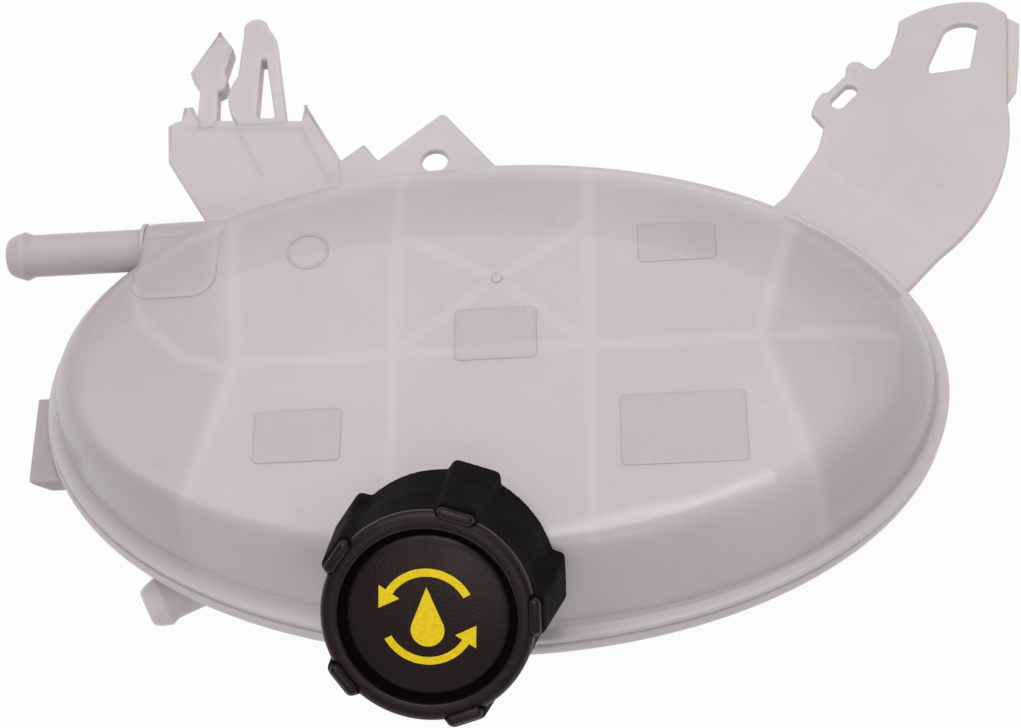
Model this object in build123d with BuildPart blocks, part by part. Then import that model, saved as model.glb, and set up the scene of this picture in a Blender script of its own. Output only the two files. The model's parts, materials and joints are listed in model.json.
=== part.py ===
from build123d import *
import os
from math import cos, radians, sin

os.makedirs("parts", exist_ok=True)

# Coolant expansion tank, lying on its flat back. Millimetres, +Z up, X along the tank, -Y towards the cap.
# The origin is on the flat back, below the middle of the weld flange.

# Welded tank body
flange_length = 270.0
flange_width = 166.0
flange_thickness = 3.0  # each half shell
flange_ledge = 3.5  # flange beyond the foot of the wall
flange_turn = -2.4  # long axis of the outline against the baffles, in plan
wall = 3.0
weld_height = 40.0  # weld plane above the flat back
upper_rise = 33.0  # crown above the weld plane
# Flat middle of each half shell behind the foot of its wall, on the near, far, left and right side
crown_near = 15.0
crown_far = 44.0
crown_left = 16.0
crown_right = 30.0
back_near = 31.5
back_far = 23.5
back_ends = 25.5
# Share of that lean done where the wall turns over: a full wall at 0, a straight slope near 0.5
near_turn = 0.4
far_turn = 0.19
left_turn = 0.22
right_turn = 0.05
back_turn = 0.45
loft_steps = 6

# Baffles and stiffening ribs inside the shells
baffle = 2.0
left_baffle_x = -25.0
right_baffle_x = 31.4
spine_y = -4.5
notch_width = 12.0  # flow openings where the baffles meet
notch_height = 7.0
notch_offset = 34.0  # along the cross baffles, from the spine
outer_notch_x = 62.0  # along the spine, left and right of the middle
rib = 1.6
rib_depth = 4.0
gate_x = 4.8  # moulding gate, where the diagonal ribs meet
gate_y = 19.4
diagonal_end_y = 37.0
left_rib_far = (-75.0, 45.0)
left_rib_x = -71.0  # where it crosses the spine
left_rib_near = (-84.0, -52.0)
right_rib_far = (92.0, 40.0)
right_rib_x = 80.0
right_rib_near = (96.0, -60.0)
arc_rib_start = (-104.0, 24.0)
arc_rib_middle = (-94.0, 1.0)
arc_rib_end = (-72.0, -7.5)

# Inlet hose pipe and its boss on the upper shell
pipe_radius = 6.5
pipe_bore = 4.3
pipe_bead = 7.5
bead_length = 7.5
bead_ramp = 2.0
bead_bulge = 0.3  # of the nose beyond a straight taper
nose_radius = 5.6
pipe_rise = 17.0  # pipe axis above the weld plane
pipe_length = 42.5  # from the boss to the tip
boss_angle = 149.4  # place of the pipe, degrees round the flange ellipse
boss_cover = 1.5  # boss beyond the pipe
boss_length = 24.0
boss_width = 28.5
boss_inset = 9.0  # boss behind the edge of the flange
boss_round = 3.0
pocket_floor = 7.0  # inside of the boss above the weld plane

# Outlet spigot on the lower shell
spigot_reach = 16.0  # tip beyond the wall
spigot_root = 12.0  # blended into the wall
spigot_height = 20.0
spigot_turn = 205.0  # heading, degrees from +X
spigot_angle = 223.4  # place of the tip, degrees round the flange ellipse
spigot_out = 6.0  # tip beyond the edge of the flange

# Filler neck on the shoulder of the upper shell
neck_radius = 22.5
neck_bore = 19.5
neck_tilt = 41.9  # from vertical, towards -Y
neck_turn = -3.1  # of that lean, in plan
neck_x = -8.9
neck_inset = 12.1  # axis behind the foot of the wall, at neck_foot height
neck_foot = 20.5
neck_length = 37.5  # from that point to the mouth
neck_sink = 6.5  # start of the neck below that point

# Brackets on the lower shell, in the plane of its flange
bracket_rib = 2.4  # stiffening ribs under the brackets
bracket_depth = 7.0
arm_angle = 38.2  # where each bracket starts, degrees round the flange ellipse
arm_out = 2.2  # that point beyond the edge of the flange
block_angle = 127.4
block_out = -2.0
ear_angle = 99.5
ear_out = -0.5
ear_hole = 4.2
ear_hole_out = 5.8  # hole centre beyond the edge of the flange
ear_round = 2.5
loop_slot_length = 10.5
loop_slot_width = 4.6
loop_slot_turn = 47.0
loop_slot_centre = (2.6, 56.0)  # from the start of the arm
ledge_drop = 1.5
ledge_thickness = 1.8
prong_thickness = 6.5
lug_length = 30.0
lug_reach = 6.0
lug_depth = 6.0
lug_drop = 4.0  # below the weld plane
lug_y = -6.5
lug_root = 26.0

# Screw cap, radii and heights along the neck axis from the neck's mouth
cap_front = 11.0
cap_height = 39.5
cap_rim_radius = 28.1
cap_skirt_radius = 30.2
cap_inner = 25.5
cap_rim_inner = 23.4
cap_rim_bevel = 1.6
cap_groove_depth = 2.7
cap_disc_radius = 22.3
cap_disc_drop = 0.7
cap_disc_round = 1.4
lug_count = 5
lug_back_reach = 32.9
lug_front_reach = 30.3
lug_back_width = 17.2
lug_front_width = 11.9
lug_foot = 26.6
lug_flank = 72.0  # base angle of the section
lug_edge = 1.3
lug_proud = 0.7  # beyond the rim
lug_turn = 1.1

# Valve insert inside the cap
gap = 0.3  # running clearance
touch = 0.05  # seals laid against flat faces
overshoot = 1.0  # of cuts beyond the faces they break through
gasket = 1.5
gasket_outer = 21.5
insert_radius = 17.5
insert_bore = 14.0
insert_length = 28.0
insert_flange = 3.0
insert_flange_radius = 23.0
insert_roof = 3.5
lip_hold = 1.0  # cap lip under the insert flange
lip_thickness = 0.8
ring_section = 1.7
ring_squeeze = 0.15  # left between the ring and the neck bore
groove_height = 20.8  # lower edge of the ring groove, below the mouth
groove_width = 3.6
vent_radius = 2.0
vent_count = 4
vent_drop = 7.0
seat_flange = 2.0
seat_height = 5.0
seat_bore = 8.0
seat_lip = 1.5
seat_lip_height = 0.6
plate_thickness = 2.0
plate_radius = 13.2
plate_hole = 2.3
seal_thickness = 1.1
seal_outer = 12.0
seal_inner = 5.2
spring_wire = 1.2
spring_radius = 9.5
spring_turns = 5
spring_boss_radius = 6.0
spring_boss = 3.0
poppet_stem = 2.0
poppet_head = 4.6
poppet_head_thickness = 1.5
poppet_length = 12.4  # from the head to the tip of the stem
vacuum_wire = 0.6
vacuum_radius = 3.3
vacuum_turns = 5
vacuum_length = 7.0
clip_thickness = 0.8
clip_radius = 4.6
clip_groove = 1.5

# Worked out from the sizes above
flange_rx = flange_length / 2
flange_ry = flange_width / 2
foot_rx = flange_rx - flange_ledge
foot_ry = flange_ry - flange_ledge
weld_plane = Plane.XY.offset(weld_height)
upper_sides = (
    (crown_near, near_turn),
    (crown_far, far_turn),
    (crown_left, left_turn),
    (crown_right, right_turn),
)
lower_sides = (
    (back_near, back_turn),
    (back_far, back_turn),
    (back_ends, back_turn),
    (back_ends, back_turn),
)


def rim_point(angle, out=0):
    # Point round the flange, or out from its edge
    along = (flange_rx + out) * cos(radians(angle))
    across = (flange_ry + out) * sin(radians(angle))
    turn = radians(flange_turn)
    return (along * cos(turn) - across * sin(turn), along * sin(turn) + across * cos(turn))


def placed(anchor, *steps):
    return [(anchor[0] + x, anchor[1] + y) for x, y in steps]


def dome(sides, rise, inset):
    # Half shell from the weld plane to its flat middle: each side of the ellipses leans in, then turns over
    height = rise - inset if rise > 0 else rise + inset
    with BuildPart() as body:
        for step in range(loft_steps + 1):
            t = step / loft_steps
            climb = 1 - (1 - t) ** 2
            near, far, left, right = [lean * (2 * t * (1 - t) * turn + t * t) for lean, turn in sides]
            with BuildSketch(weld_plane.offset(height * climb)):
                with Locations(((left - right) / 2, (near - far) / 2)):
                    Ellipse(
                        foot_rx - (left + right) / 2 - inset,
                        foot_ry - (near + far) / 2 - inset,
                        rotation=flange_turn,
                    )
        loft()
    return body.part


def spigot(section, length):
    # Hose spigot along the section plane's x direction, with a bead behind its nose
    with BuildPart() as body:
        with BuildSketch(section):
            with BuildLine():
                bead_start = length - bead_length
                Polyline(
                    (length, nose_radius),
                    (length, 0),
                    (0, 0),
                    (0, pipe_radius),
                    (bead_start, pipe_radius),
                    (bead_start + bead_ramp, pipe_bead),
                )
                ThreePointArc(
                    (bead_start + bead_ramp, pipe_bead),
                    (length - bead_length / 3, (pipe_bead + nose_radius) / 2 + bead_bulge),
                    (length, nose_radius),
                )
            make_face()
        revolve(axis=Axis(section.origin, section.x_dir))
    return body.part


def bore_along(section, length, radius):
    with BuildPart() as body:
        with BuildSketch(Plane(section.origin, x_dir=section.y_dir, z_dir=section.x_dir)):
            Circle(radius)
        extrude(amount=length)
    return body.part


# Upper half shell
upper_outer = dome(upper_sides, upper_rise, 0)
upper_middle = dome(upper_sides, upper_rise, wall / 2)
upper_inner = dome(upper_sides, upper_rise, wall)
upper_core = dome(upper_sides, upper_rise, wall + rib_depth)


def baffle_walls(height):
    # Two cross baffles and a spine, with flow notches at the weld plane
    with BuildPart() as walls:
        with BuildSketch(weld_plane):
            with Locations((left_baffle_x, 0), (right_baffle_x, 0)):
                Rectangle(baffle, flange_width)
            with Locations((0, spine_y)):
                Rectangle(flange_length, baffle)
        extrude(amount=height)
        with BuildSketch(weld_plane):
            for x in (left_baffle_x, right_baffle_x):
                with Locations((x, spine_y - notch_offset), (x, spine_y + notch_offset)):
                    Rectangle(2 * baffle, notch_width)
            middle_x = (left_baffle_x + right_baffle_x) / 2
            with Locations((middle_x - outer_notch_x, spine_y), (middle_x + outer_notch_x, spine_y)):
                Rectangle(notch_width, 2 * baffle)
        extrude(amount=notch_height if height > 0 else -notch_height, mode=Mode.SUBTRACT)
    return walls.part


upper_walls = baffle_walls(upper_rise)
with BuildPart() as upper_baffles:
    add(upper_walls)
    add(upper_middle, mode=Mode.INTERSECT)

# Shallow ribs that follow the inside of the crown
with BuildPart() as crown_ribs:
    with BuildSketch(weld_plane):
        with BuildLine():
            Line((gate_x, gate_y), (left_baffle_x, spine_y))
            Line((gate_x, gate_y), (right_baffle_x, spine_y))
            Line((gate_x, gate_y), (left_baffle_x, diagonal_end_y))
            Line((gate_x, gate_y), (right_baffle_x, diagonal_end_y))
        trace(line_width=rib)
        with BuildLine():
            Polyline(left_rib_far, (left_rib_x, spine_y), left_rib_near)
        trace(line_width=rib)
        with BuildLine():
            Polyline(right_rib_far, (right_rib_x, spine_y), right_rib_near)
        trace(line_width=rib)
        with BuildLine():
            ThreePointArc(arc_rib_start, arc_rib_middle, arc_rib_end)
        trace(line_width=rib)
    extrude(amount=upper_rise)
    add(upper_middle, mode=Mode.INTERSECT)
    add(upper_core, mode=Mode.SUBTRACT)

pipe_z = weld_height + pipe_rise
boss_root = rim_point(boss_angle)
boss_left = boss_root[0] + boss_inset
pipe_y = boss_root[1]
pipe_section = Plane((boss_left + wall, pipe_y, pipe_z), x_dir=(-1, 0, 0), z_dir=(0, 1, 0))
pipe_body = spigot(pipe_section, pipe_length + wall)
pipe_hole = bore_along(pipe_section, pipe_length + wall + overshoot, pipe_bore)
boss_far = pipe_y + pipe_radius + boss_cover
boss_top = pipe_z + pipe_radius + boss_cover

neck_y = neck_inset - foot_ry
neck_z = weld_height + neck_foot
neck_lean = sin(radians(neck_tilt))
neck_axis = Vector(
    neck_lean * sin(radians(neck_turn)),
    -neck_lean * cos(radians(neck_turn)),
    cos(radians(neck_tilt)),
)
neck_side = Vector(cos(radians(neck_turn)), sin(radians(neck_turn)), 0)
neck_origin = Vector(neck_x, neck_y, neck_z)
neck_mouth = neck_origin + neck_axis * neck_length
neck_plane = Plane(neck_origin - neck_axis * neck_sink, x_dir=neck_side, z_dir=neck_axis)
neck_total = neck_length + neck_sink

with BuildPart() as upper_shell:
    add(upper_outer)
    with BuildSketch(weld_plane):
        Ellipse(flange_rx, flange_ry, rotation=flange_turn)
    extrude(amount=flange_thickness)
    with BuildSketch(Plane.YZ.offset(boss_left)):
        with BuildLine():
            boss_near = boss_far - boss_width
            round_far = pipe_radius + boss_cover
            Polyline(
                (pipe_y, boss_top),
                (boss_near + boss_round, boss_top),
            )
            RadiusArc((boss_near + boss_round, boss_top), (boss_near, boss_top - boss_round), -boss_round)
            Polyline(
                (boss_near, boss_top - boss_round),
                (boss_near, weld_height),
                (boss_far, weld_height),
                (boss_far, pipe_z),
            )
            RadiusArc((boss_far, pipe_z), (pipe_y, boss_top), -round_far)
        make_face()
    extrude(amount=boss_length)
    add(pipe_body)
    with BuildSketch(neck_plane):
        Circle(neck_radius)
    extrude(amount=neck_total)
    add(upper_inner, mode=Mode.SUBTRACT)
    add(upper_baffles.part)
    add(crown_ribs.part)
    with BuildSketch(Plane.YZ.offset(boss_left + wall)):
        with Locations(((boss_near + boss_far) / 2, (weld_height + pocket_floor + boss_top - wall) / 2)):
            Rectangle(boss_width - 2 * wall, boss_top - wall - weld_height - pocket_floor)
    extrude(amount=boss_length - wall, mode=Mode.SUBTRACT)
    add(pipe_hole, mode=Mode.SUBTRACT)
    with BuildSketch(neck_plane):
        Circle(neck_bore)
    extrude(amount=neck_total, mode=Mode.SUBTRACT)
upper_shell.part.label = "upper_shell"
export_step(upper_shell.part, "parts/upper_shell.step")

# Lower half shell, with its brackets
lower_outer = dome(lower_sides, -weld_height, 0)
lower_middle = dome(lower_sides, -weld_height, wall / 2)
lower_inner = dome(lower_sides, -weld_height, wall)

lower_walls = baffle_walls(-weld_height)
with BuildPart() as lower_baffles:
    add(lower_walls)
    add(lower_middle, mode=Mode.INTERSECT)

arm_root = rim_point(arm_angle, arm_out)
arm_left = placed(
    arm_root,
    (-30.0, 2.0),
    (-21.4, 16.0),
    (-18.2, 18.5),
    (-7.1, 35.9),
    (-4.6, 44.7),
    (-8.3, 50.5),
    (-6.7, 54.6),
    (-4.3, 58.3),
    (-2.5, 58.2),
    (3.6, 64.6),
    (4.2, 68.5),
    (6.1, 70.1),
    (9.0, 69.6),
    (12.5, 65.9),
    (18.4, 72.0),
    (21.5, 81.3),
    (22.4, 85.4),
)
arm_top_middle, arm_top_right = placed(arm_root, (35.0, 90.9), (51.3, 91.0))
arm_corner, arm_side = placed(arm_root, (57.2, 86.0), (53.5, 50.0))
arm_bow, arm_heel, arm_foot = placed(arm_root, (47.8, 20.0), (26.9, -6.9), (2.0, -34.0))
with BuildSketch() as arm_outline:
    with BuildLine():
        Polyline(*arm_left)
        ThreePointArc(arm_left[-1], arm_top_middle, arm_top_right)
        Polyline(arm_top_right, arm_corner, arm_side)
        ThreePointArc(arm_side, arm_bow, arm_heel)
        Polyline(arm_heel, arm_foot, arm_left[0])
    make_face()

slot_near_left, slot_left, slot_far_left = placed(arm_root, (30.1, 63.4), (30.4, 67.0), (36.6, 80.3))
slot_far, slot_far_right, slot_near_right = placed(arm_root, (42.0, 83.0), (47.3, 81.3), (43.2, 64.8))
with BuildSketch() as arm_slot:
    with BuildLine():
        Polyline(slot_far_right, slot_near_right, slot_near_left, slot_left, slot_far_left)
        ThreePointArc(slot_far_left, slot_far, slot_far_right)
    make_face()

with BuildSketch() as arm_ribs:
    with BuildLine():
        Line(*placed(arm_root, (-4.0, 27.0), (23.0, 2.0)))
        Line(*placed(arm_root, (-6.0, 0.0), (33.0, 54.0)))
    trace(line_width=bracket_rib)

with BuildSketch() as arm_ledge:
    with BuildLine():
        Polyline(
            *placed(arm_root, (55.0, 86.5), (60.9, 82.4), (58.8, 66.0)),
            *placed(arm_root, (56.9, 55.4), (52.5, 49.0), (50.0, 52.0)),
            close=True,
        )
    make_face()

block_root = rim_point(block_angle, block_out)
ear_root = rim_point(ear_angle, ear_out)
with BuildSketch() as block_outline:
    with BuildLine():
        Polyline(
            *placed(
                block_root,
                (-6.0, -12.0),
                (-13.3, 0.7),
                (-27.8, 26.1),
                (-29.0, 40.3),
                (-26.7, 41.8),
                (-24.8, 42.3),
                (-24.3, 47.6),
                (-21.2, 47.8),
                (-18.8, 42.0),
                (15.2, 39.4),
                (16.2, 46.5),
                (28.8, 22.8),
                (30.0, 8.0),
                (24.0, -6.0),
            ),
            close=True,
        )
    make_face()

with BuildSketch() as ear_outline:
    with BuildLine():
        Polyline(
            *placed(
                ear_root,
                (2.5, 25.0),
                (20.6, 1.2),
                (20.6, -20.0),
                (-36.6, -20.0),
                (-36.6, 6.0),
                (-30.6, 8.0),
                (-23.0, 14.0),
                (-18.4, 7.3),
            ),
            close=True,
        )
    make_face()
    fillet(ear_outline.vertices().sort_by(Axis.Y)[-1], ear_round)

with BuildSketch() as block_ribs:
    with BuildLine():
        Line(*placed(block_root, (-6.5, 38.0), (6.0, 4.0)))
        Line(*placed(block_root, (-24.0, 30.0), (12.0, 30.0)))
    trace(line_width=bracket_rib)

with BuildSketch() as prongs:
    with BuildLine():
        Polyline(
            *placed(
                block_root,
                (-19.4, 38.0),
                (-19.4, 55.8),
                (-23.2, 61.9),
                (-14.2, 79.1),
                (-9.3, 71.4),
                (-11.4, 61.8),
                (-10.4, 58.0),
                (-11.2, 54.6),
                (-13.2, 53.6),
                (-12.7, 38.0),
            ),
            close=True,
        )
    make_face()
    with BuildLine():
        prong_left = placed(block_root, (-6.7, 38.0), (-6.7, 41.0))
        bulge_middle, bulge_top, prong_neck = placed(block_root, (-9.6, 50.0), (-6.9, 59.4), (-6.0, 78.0))
        prong_tip, prong_shoulder, prong_cheek = placed(block_root, (-2.2, 83.3), (2.0, 80.0), (5.1, 74.2))
        Polyline(*prong_left)
        ThreePointArc(prong_left[-1], bulge_middle, bulge_top)
        Line(bulge_top, prong_neck)
        ThreePointArc(prong_neck, prong_tip, prong_shoulder)
        Polyline(prong_shoulder, prong_cheek, *placed(block_root, (10.5, 38.0)), prong_left[0])
    make_face()
    with BuildLine():
        Polyline(*placed(block_root, (0.3, 41.5), (0.6, 66.0), (2.2, 66.0), (6.4, 41.2)), close=True)
    make_face(mode=Mode.SUBTRACT)

lug_top = weld_height - lug_drop
lug_tip = -flange_rx - lug_reach
spigot_heading = Vector(cos(radians(spigot_turn)), sin(radians(spigot_turn)), 0)
spigot_tip = Vector(*rim_point(spigot_angle, spigot_out), spigot_height)
spigot_start = spigot_tip - spigot_heading * (spigot_reach + spigot_root)
spigot_section = Plane(spigot_start, x_dir=spigot_heading, z_dir=spigot_heading.cross(Vector(0, 0, 1)))
spigot_body = spigot(spigot_section, spigot_reach + spigot_root)
spigot_hole = bore_along(spigot_section, spigot_reach + spigot_root + overshoot, pipe_bore)

bracket_plane = weld_plane.offset(-flange_thickness)
with BuildPart() as lower_shell:
    add(lower_outer)
    with BuildSketch(weld_plane):
        Ellipse(flange_rx, flange_ry, rotation=flange_turn)
        add(arm_outline.sketch)
        add(block_outline.sketch)
        add(ear_outline.sketch)
        add(arm_slot.sketch, mode=Mode.SUBTRACT)
        with Locations(*placed(arm_root, loop_slot_centre)):
            SlotOverall(loop_slot_length, loop_slot_width, rotation=loop_slot_turn, mode=Mode.SUBTRACT)
    extrude(amount=-flange_thickness)
    with BuildSketch(bracket_plane):
        add(arm_ribs.sketch)
        add(block_ribs.sketch)
    extrude(amount=-bracket_depth)
    with BuildSketch(weld_plane.offset(-ledge_drop)):
        add(arm_ledge.sketch)
    extrude(amount=-ledge_thickness)
    with BuildSketch(weld_plane):
        add(prongs.sketch)
    extrude(amount=-prong_thickness)
    with BuildSketch(Plane.XZ.offset(-lug_y - lug_length / 2)):
        with BuildLine():
            Polyline(
                (lug_tip, lug_top),
                (lug_tip + lug_root, lug_top),
                (lug_tip + lug_root, lug_top - lug_depth),
                (lug_tip + lug_reach, lug_top - lug_depth),
                close=True,
            )
        make_face()
    extrude(amount=lug_length)
    add(spigot_body)
    add(lower_inner, mode=Mode.SUBTRACT)
    add(lower_baffles.part)
    add(spigot_hole, mode=Mode.SUBTRACT)
    hole_x, hole_y = placed(ear_root, (0, ear_hole_out))[0]
    with Locations((hole_x, hole_y, weld_height)):
        Hole(ear_hole, depth=2 * flange_thickness)
lower_shell.part.label = "lower_shell"
export_step(lower_shell.part, "parts/lower_shell.step")

# Screw cap and valve insert: sections with x the radius and y the height along the neck from its mouth
cap_section = Plane(neck_mouth, x_dir=neck_side, z_dir=neck_side.cross(neck_axis))
cap_axis = Axis(neck_mouth, neck_axis)


def level(height):
    return Plane(neck_mouth + neck_axis * height, x_dir=neck_side, z_dir=neck_axis)


def turned(*points):
    # Ring turned from a closed outline of (radius, height) points
    with BuildPart() as body:
        with BuildSketch(cap_section):
            with BuildLine():
                Polyline(*points, close=True)
            make_face()
        revolve(axis=cap_axis)
    return body


def coil(radius, wire, low, high, turns):
    # Compression spring between two heights
    rise = high - low - wire - 2 * touch
    start = neck_mouth + neck_axis * (low + wire / 2 + touch)
    with BuildPart() as body:
        with BuildLine() as path:
            Helix(pitch=rise / turns, height=rise, radius=radius, center=start, direction=neck_axis)
        with BuildSketch(Plane(path.line @ 0, z_dir=path.line % 0)):
            Circle(wire / 2)
        sweep(path=path.line, is_frenet=True)
    return body


roof_under = gasket + insert_flange + gap
pocket_radius = insert_flange_radius + gap
skirt_bottom = cap_front - cap_height
groove_floor = cap_front - cap_groove_depth
disc_top = cap_front - cap_disc_drop
lip_top = gasket - gap

with BuildPart() as cap_lug:
    with BuildSketch(level(skirt_bottom)):
        with Locations(((lug_foot + lug_back_reach) / 2, 0)):
            Trapezoid(lug_back_width, lug_back_reach - lug_foot, lug_flank, rotation=-90)
    with BuildSketch(level(cap_front + lug_proud)):
        with Locations(((lug_foot + lug_front_reach) / 2, 0)):
            Trapezoid(lug_front_width, lug_front_reach - lug_foot, lug_flank, rotation=-90)
    loft()
    fillet(cap_lug.edges(), lug_edge)

with BuildPart() as cap_cover:
    with BuildSketch(cap_section):
        with BuildLine():
            Polyline(
                (0, roof_under),
                (pocket_radius, roof_under),
                (pocket_radius, lip_top),
                (insert_flange_radius - lip_hold, lip_top),
                (insert_flange_radius - lip_hold, lip_top - lip_thickness),
                (cap_inner, lip_top - lip_thickness),
                (cap_inner, skirt_bottom),
                (cap_skirt_radius, skirt_bottom),
                (cap_rim_radius, cap_front - cap_rim_bevel),
                (cap_rim_radius - cap_rim_bevel, cap_front),
                (cap_rim_inner, cap_front),
                (cap_rim_inner, groove_floor),
                (cap_disc_radius, groove_floor),
                (cap_disc_radius, disc_top - cap_disc_round),
            )
            RadiusArc(
                (cap_disc_radius, disc_top - cap_disc_round),
                (cap_disc_radius - cap_disc_round, disc_top),
                -cap_disc_round,
            )
            Polyline((cap_disc_radius - cap_disc_round, disc_top), (0, disc_top), (0, roof_under))
        make_face()
    revolve(axis=cap_axis)
    for turn in range(lug_count):
        add(cap_lug.part.rotate(cap_axis, lug_turn + 360 / lug_count * turn))
cap_cover.part.label = "cap_cover"
export_step(cap_cover.part, "parts/cap_cover.step")

ring_groove = neck_bore - ring_squeeze - 2 * ring_section
flange_top = gasket + insert_flange
insert_roof_under = flange_top - insert_roof
valve_body = turned(
    (0, flange_top),
    (insert_flange_radius, flange_top),
    (insert_flange_radius, gasket),
    (insert_radius, gasket),
    (insert_radius, groove_width - groove_height),
    (ring_groove, groove_width - groove_height),
    (ring_groove, -groove_height),
    (insert_radius, -groove_height),
    (insert_radius, -insert_length),
    (insert_bore, -insert_length),
    (insert_bore, insert_roof_under),
    (spring_boss_radius, insert_roof_under),
    (spring_boss_radius, insert_roof_under - spring_boss),
    (0, insert_roof_under - spring_boss),
)
with BuildPart() as vented_body:
    add(valve_body.part)
    for turn in range(vent_count):
        vent_plane = level(-vent_drop).rotated((0, 0, 360 / vent_count * turn)).rotated((0, 90, 0))
        with BuildSketch(vent_plane):
            Circle(vent_radius)
        extrude(amount=insert_radius + overshoot, mode=Mode.SUBTRACT)
vented_body.part.label = "valve_body"
export_step(vented_body.part, "parts/valve_body.step")

neck_gasket = turned(
    (insert_radius + touch, touch),
    (gasket_outer, touch),
    (gasket_outer, gasket),
    (insert_radius + touch, gasket),
)
neck_gasket.part.label = "neck_gasket"
export_step(neck_gasket.part, "parts/neck_gasket.step")

with BuildPart() as body_o_ring:
    with BuildSketch(cap_section):
        with Locations((ring_groove + touch + ring_section, groove_width / 2 - groove_height)):
            Circle(ring_section)
    revolve(axis=cap_axis)
body_o_ring.part.label = "body_o_ring"
export_step(body_o_ring.part, "parts/body_o_ring.step")

seat_top = seat_height - insert_length
seat_ring = turned(
    (seat_bore, -insert_length - seat_flange),
    (insert_radius, -insert_length - seat_flange),
    (insert_radius, -insert_length),
    (insert_bore - touch, -insert_length),
    (insert_bore - touch, seat_top),
    (seat_bore + seat_lip, seat_top),
    (seat_bore + seat_lip, seat_top + seat_lip_height),
    (seat_bore, seat_top + seat_lip_height),
)
seat_ring.part.label = "seat_ring"
export_step(seat_ring.part, "parts/seat_ring.step")

seal_bottom = seat_top + seat_lip_height + touch
plate_bottom = seal_bottom + seal_thickness
plate_top = plate_bottom + plate_thickness
pressure_seal = turned(
    (seal_inner, seal_bottom),
    (seal_outer, seal_bottom),
    (seal_outer, plate_bottom),
    (seal_inner, plate_bottom),
)
pressure_seal.part.label = "pressure_seal"
export_step(pressure_seal.part, "parts/pressure_seal.step")

pressure_plate = turned(
    (plate_hole, plate_bottom),
    (plate_radius, plate_bottom),
    (plate_radius, plate_top),
    (plate_hole, plate_top),
)
pressure_plate.part.label = "pressure_plate"
export_step(pressure_plate.part, "parts/pressure_plate.step")

pressure_spring = coil(spring_radius, spring_wire, plate_top, insert_roof_under, spring_turns)
pressure_spring.part.label = "pressure_spring"
export_step(pressure_spring.part, "parts/pressure_spring.step")

head_top = plate_bottom - seal_thickness - touch
stem_top = head_top + poppet_length
clip_bottom = plate_top + vacuum_length
vacuum_poppet = turned(
    (0, head_top - poppet_head_thickness),
    (poppet_head, head_top - poppet_head_thickness),
    (poppet_head, head_top),
    (poppet_stem, head_top),
    (poppet_stem, clip_bottom),
    (clip_groove, clip_bottom),
    (clip_groove, clip_bottom + clip_thickness),
    (poppet_stem, clip_bottom + clip_thickness),
    (poppet_stem, stem_top),
    (0, stem_top),
)
vacuum_poppet.part.label = "vacuum_poppet"
export_step(vacuum_poppet.part, "parts/vacuum_poppet.step")

vacuum_seal = turned(
    (poppet_stem + touch, head_top),
    (poppet_head, head_top),
    (poppet_head, plate_bottom - touch),
    (poppet_stem + touch, plate_bottom - touch),
)
vacuum_seal.part.label = "vacuum_seal"
export_step(vacuum_seal.part, "parts/vacuum_seal.step")

vacuum_spring = coil(vacuum_radius, vacuum_wire, plate_top, clip_bottom, vacuum_turns)
vacuum_spring.part.label = "vacuum_spring"
export_step(vacuum_spring.part, "parts/vacuum_spring.step")

vacuum_clip = turned(
    (clip_groove + touch, clip_bottom),
    (clip_radius, clip_bottom),
    (clip_radius, clip_bottom + clip_thickness),
    (clip_groove + touch, clip_bottom + clip_thickness),
)
vacuum_clip.part.label = "vacuum_clip"
export_step(vacuum_clip.part, "parts/vacuum_clip.step")
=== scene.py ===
import json
from math import asin, atan2, ceil, cos, dist, hypot, pi, radians, sin, sqrt, tan

import bmesh
import bpy
import numpy as np
from mathutils import Matrix, Vector
from mathutils.bvhtree import BVHTree

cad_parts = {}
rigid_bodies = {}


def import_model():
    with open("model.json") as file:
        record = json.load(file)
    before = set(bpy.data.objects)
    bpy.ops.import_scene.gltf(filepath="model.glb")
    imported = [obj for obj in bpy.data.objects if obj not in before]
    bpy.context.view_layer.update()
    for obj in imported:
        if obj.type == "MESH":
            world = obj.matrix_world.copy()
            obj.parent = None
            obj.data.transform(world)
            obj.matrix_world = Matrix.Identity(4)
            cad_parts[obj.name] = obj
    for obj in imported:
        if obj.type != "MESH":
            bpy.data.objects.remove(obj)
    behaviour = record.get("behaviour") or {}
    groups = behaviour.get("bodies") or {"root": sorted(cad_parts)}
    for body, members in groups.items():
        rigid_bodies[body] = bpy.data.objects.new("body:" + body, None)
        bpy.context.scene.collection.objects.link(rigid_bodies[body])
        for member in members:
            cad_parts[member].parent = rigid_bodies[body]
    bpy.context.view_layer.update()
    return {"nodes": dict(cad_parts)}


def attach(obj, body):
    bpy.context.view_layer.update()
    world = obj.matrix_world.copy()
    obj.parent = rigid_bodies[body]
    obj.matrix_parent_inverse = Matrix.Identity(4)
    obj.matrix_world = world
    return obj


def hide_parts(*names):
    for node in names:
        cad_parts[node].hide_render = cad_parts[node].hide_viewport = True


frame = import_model()
scene = bpy.context.scene
mm = 0.001
print("frame loaded:", len(frame["nodes"]), "nodes")


def linear(red, green, blue):
    # screen colour from 0 to 255 to linear light
    parts = [c / 255 for c in (red, green, blue)]
    return tuple(c / 12.92 if c <= 0.04045 else ((c + 0.055) / 1.055) ** 2.4 for c in parts) + (1.0,)


# Mesh building, in millimetres

def meshObject(name, verts, faces):
    mesh = bpy.data.meshes.new(name)
    mesh.from_pydata([(x * mm, y * mm, z * mm) for x, y, z in verts], [], faces)
    obj = bpy.data.objects.new(name, mesh)
    scene.collection.objects.link(obj)
    return obj


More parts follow.
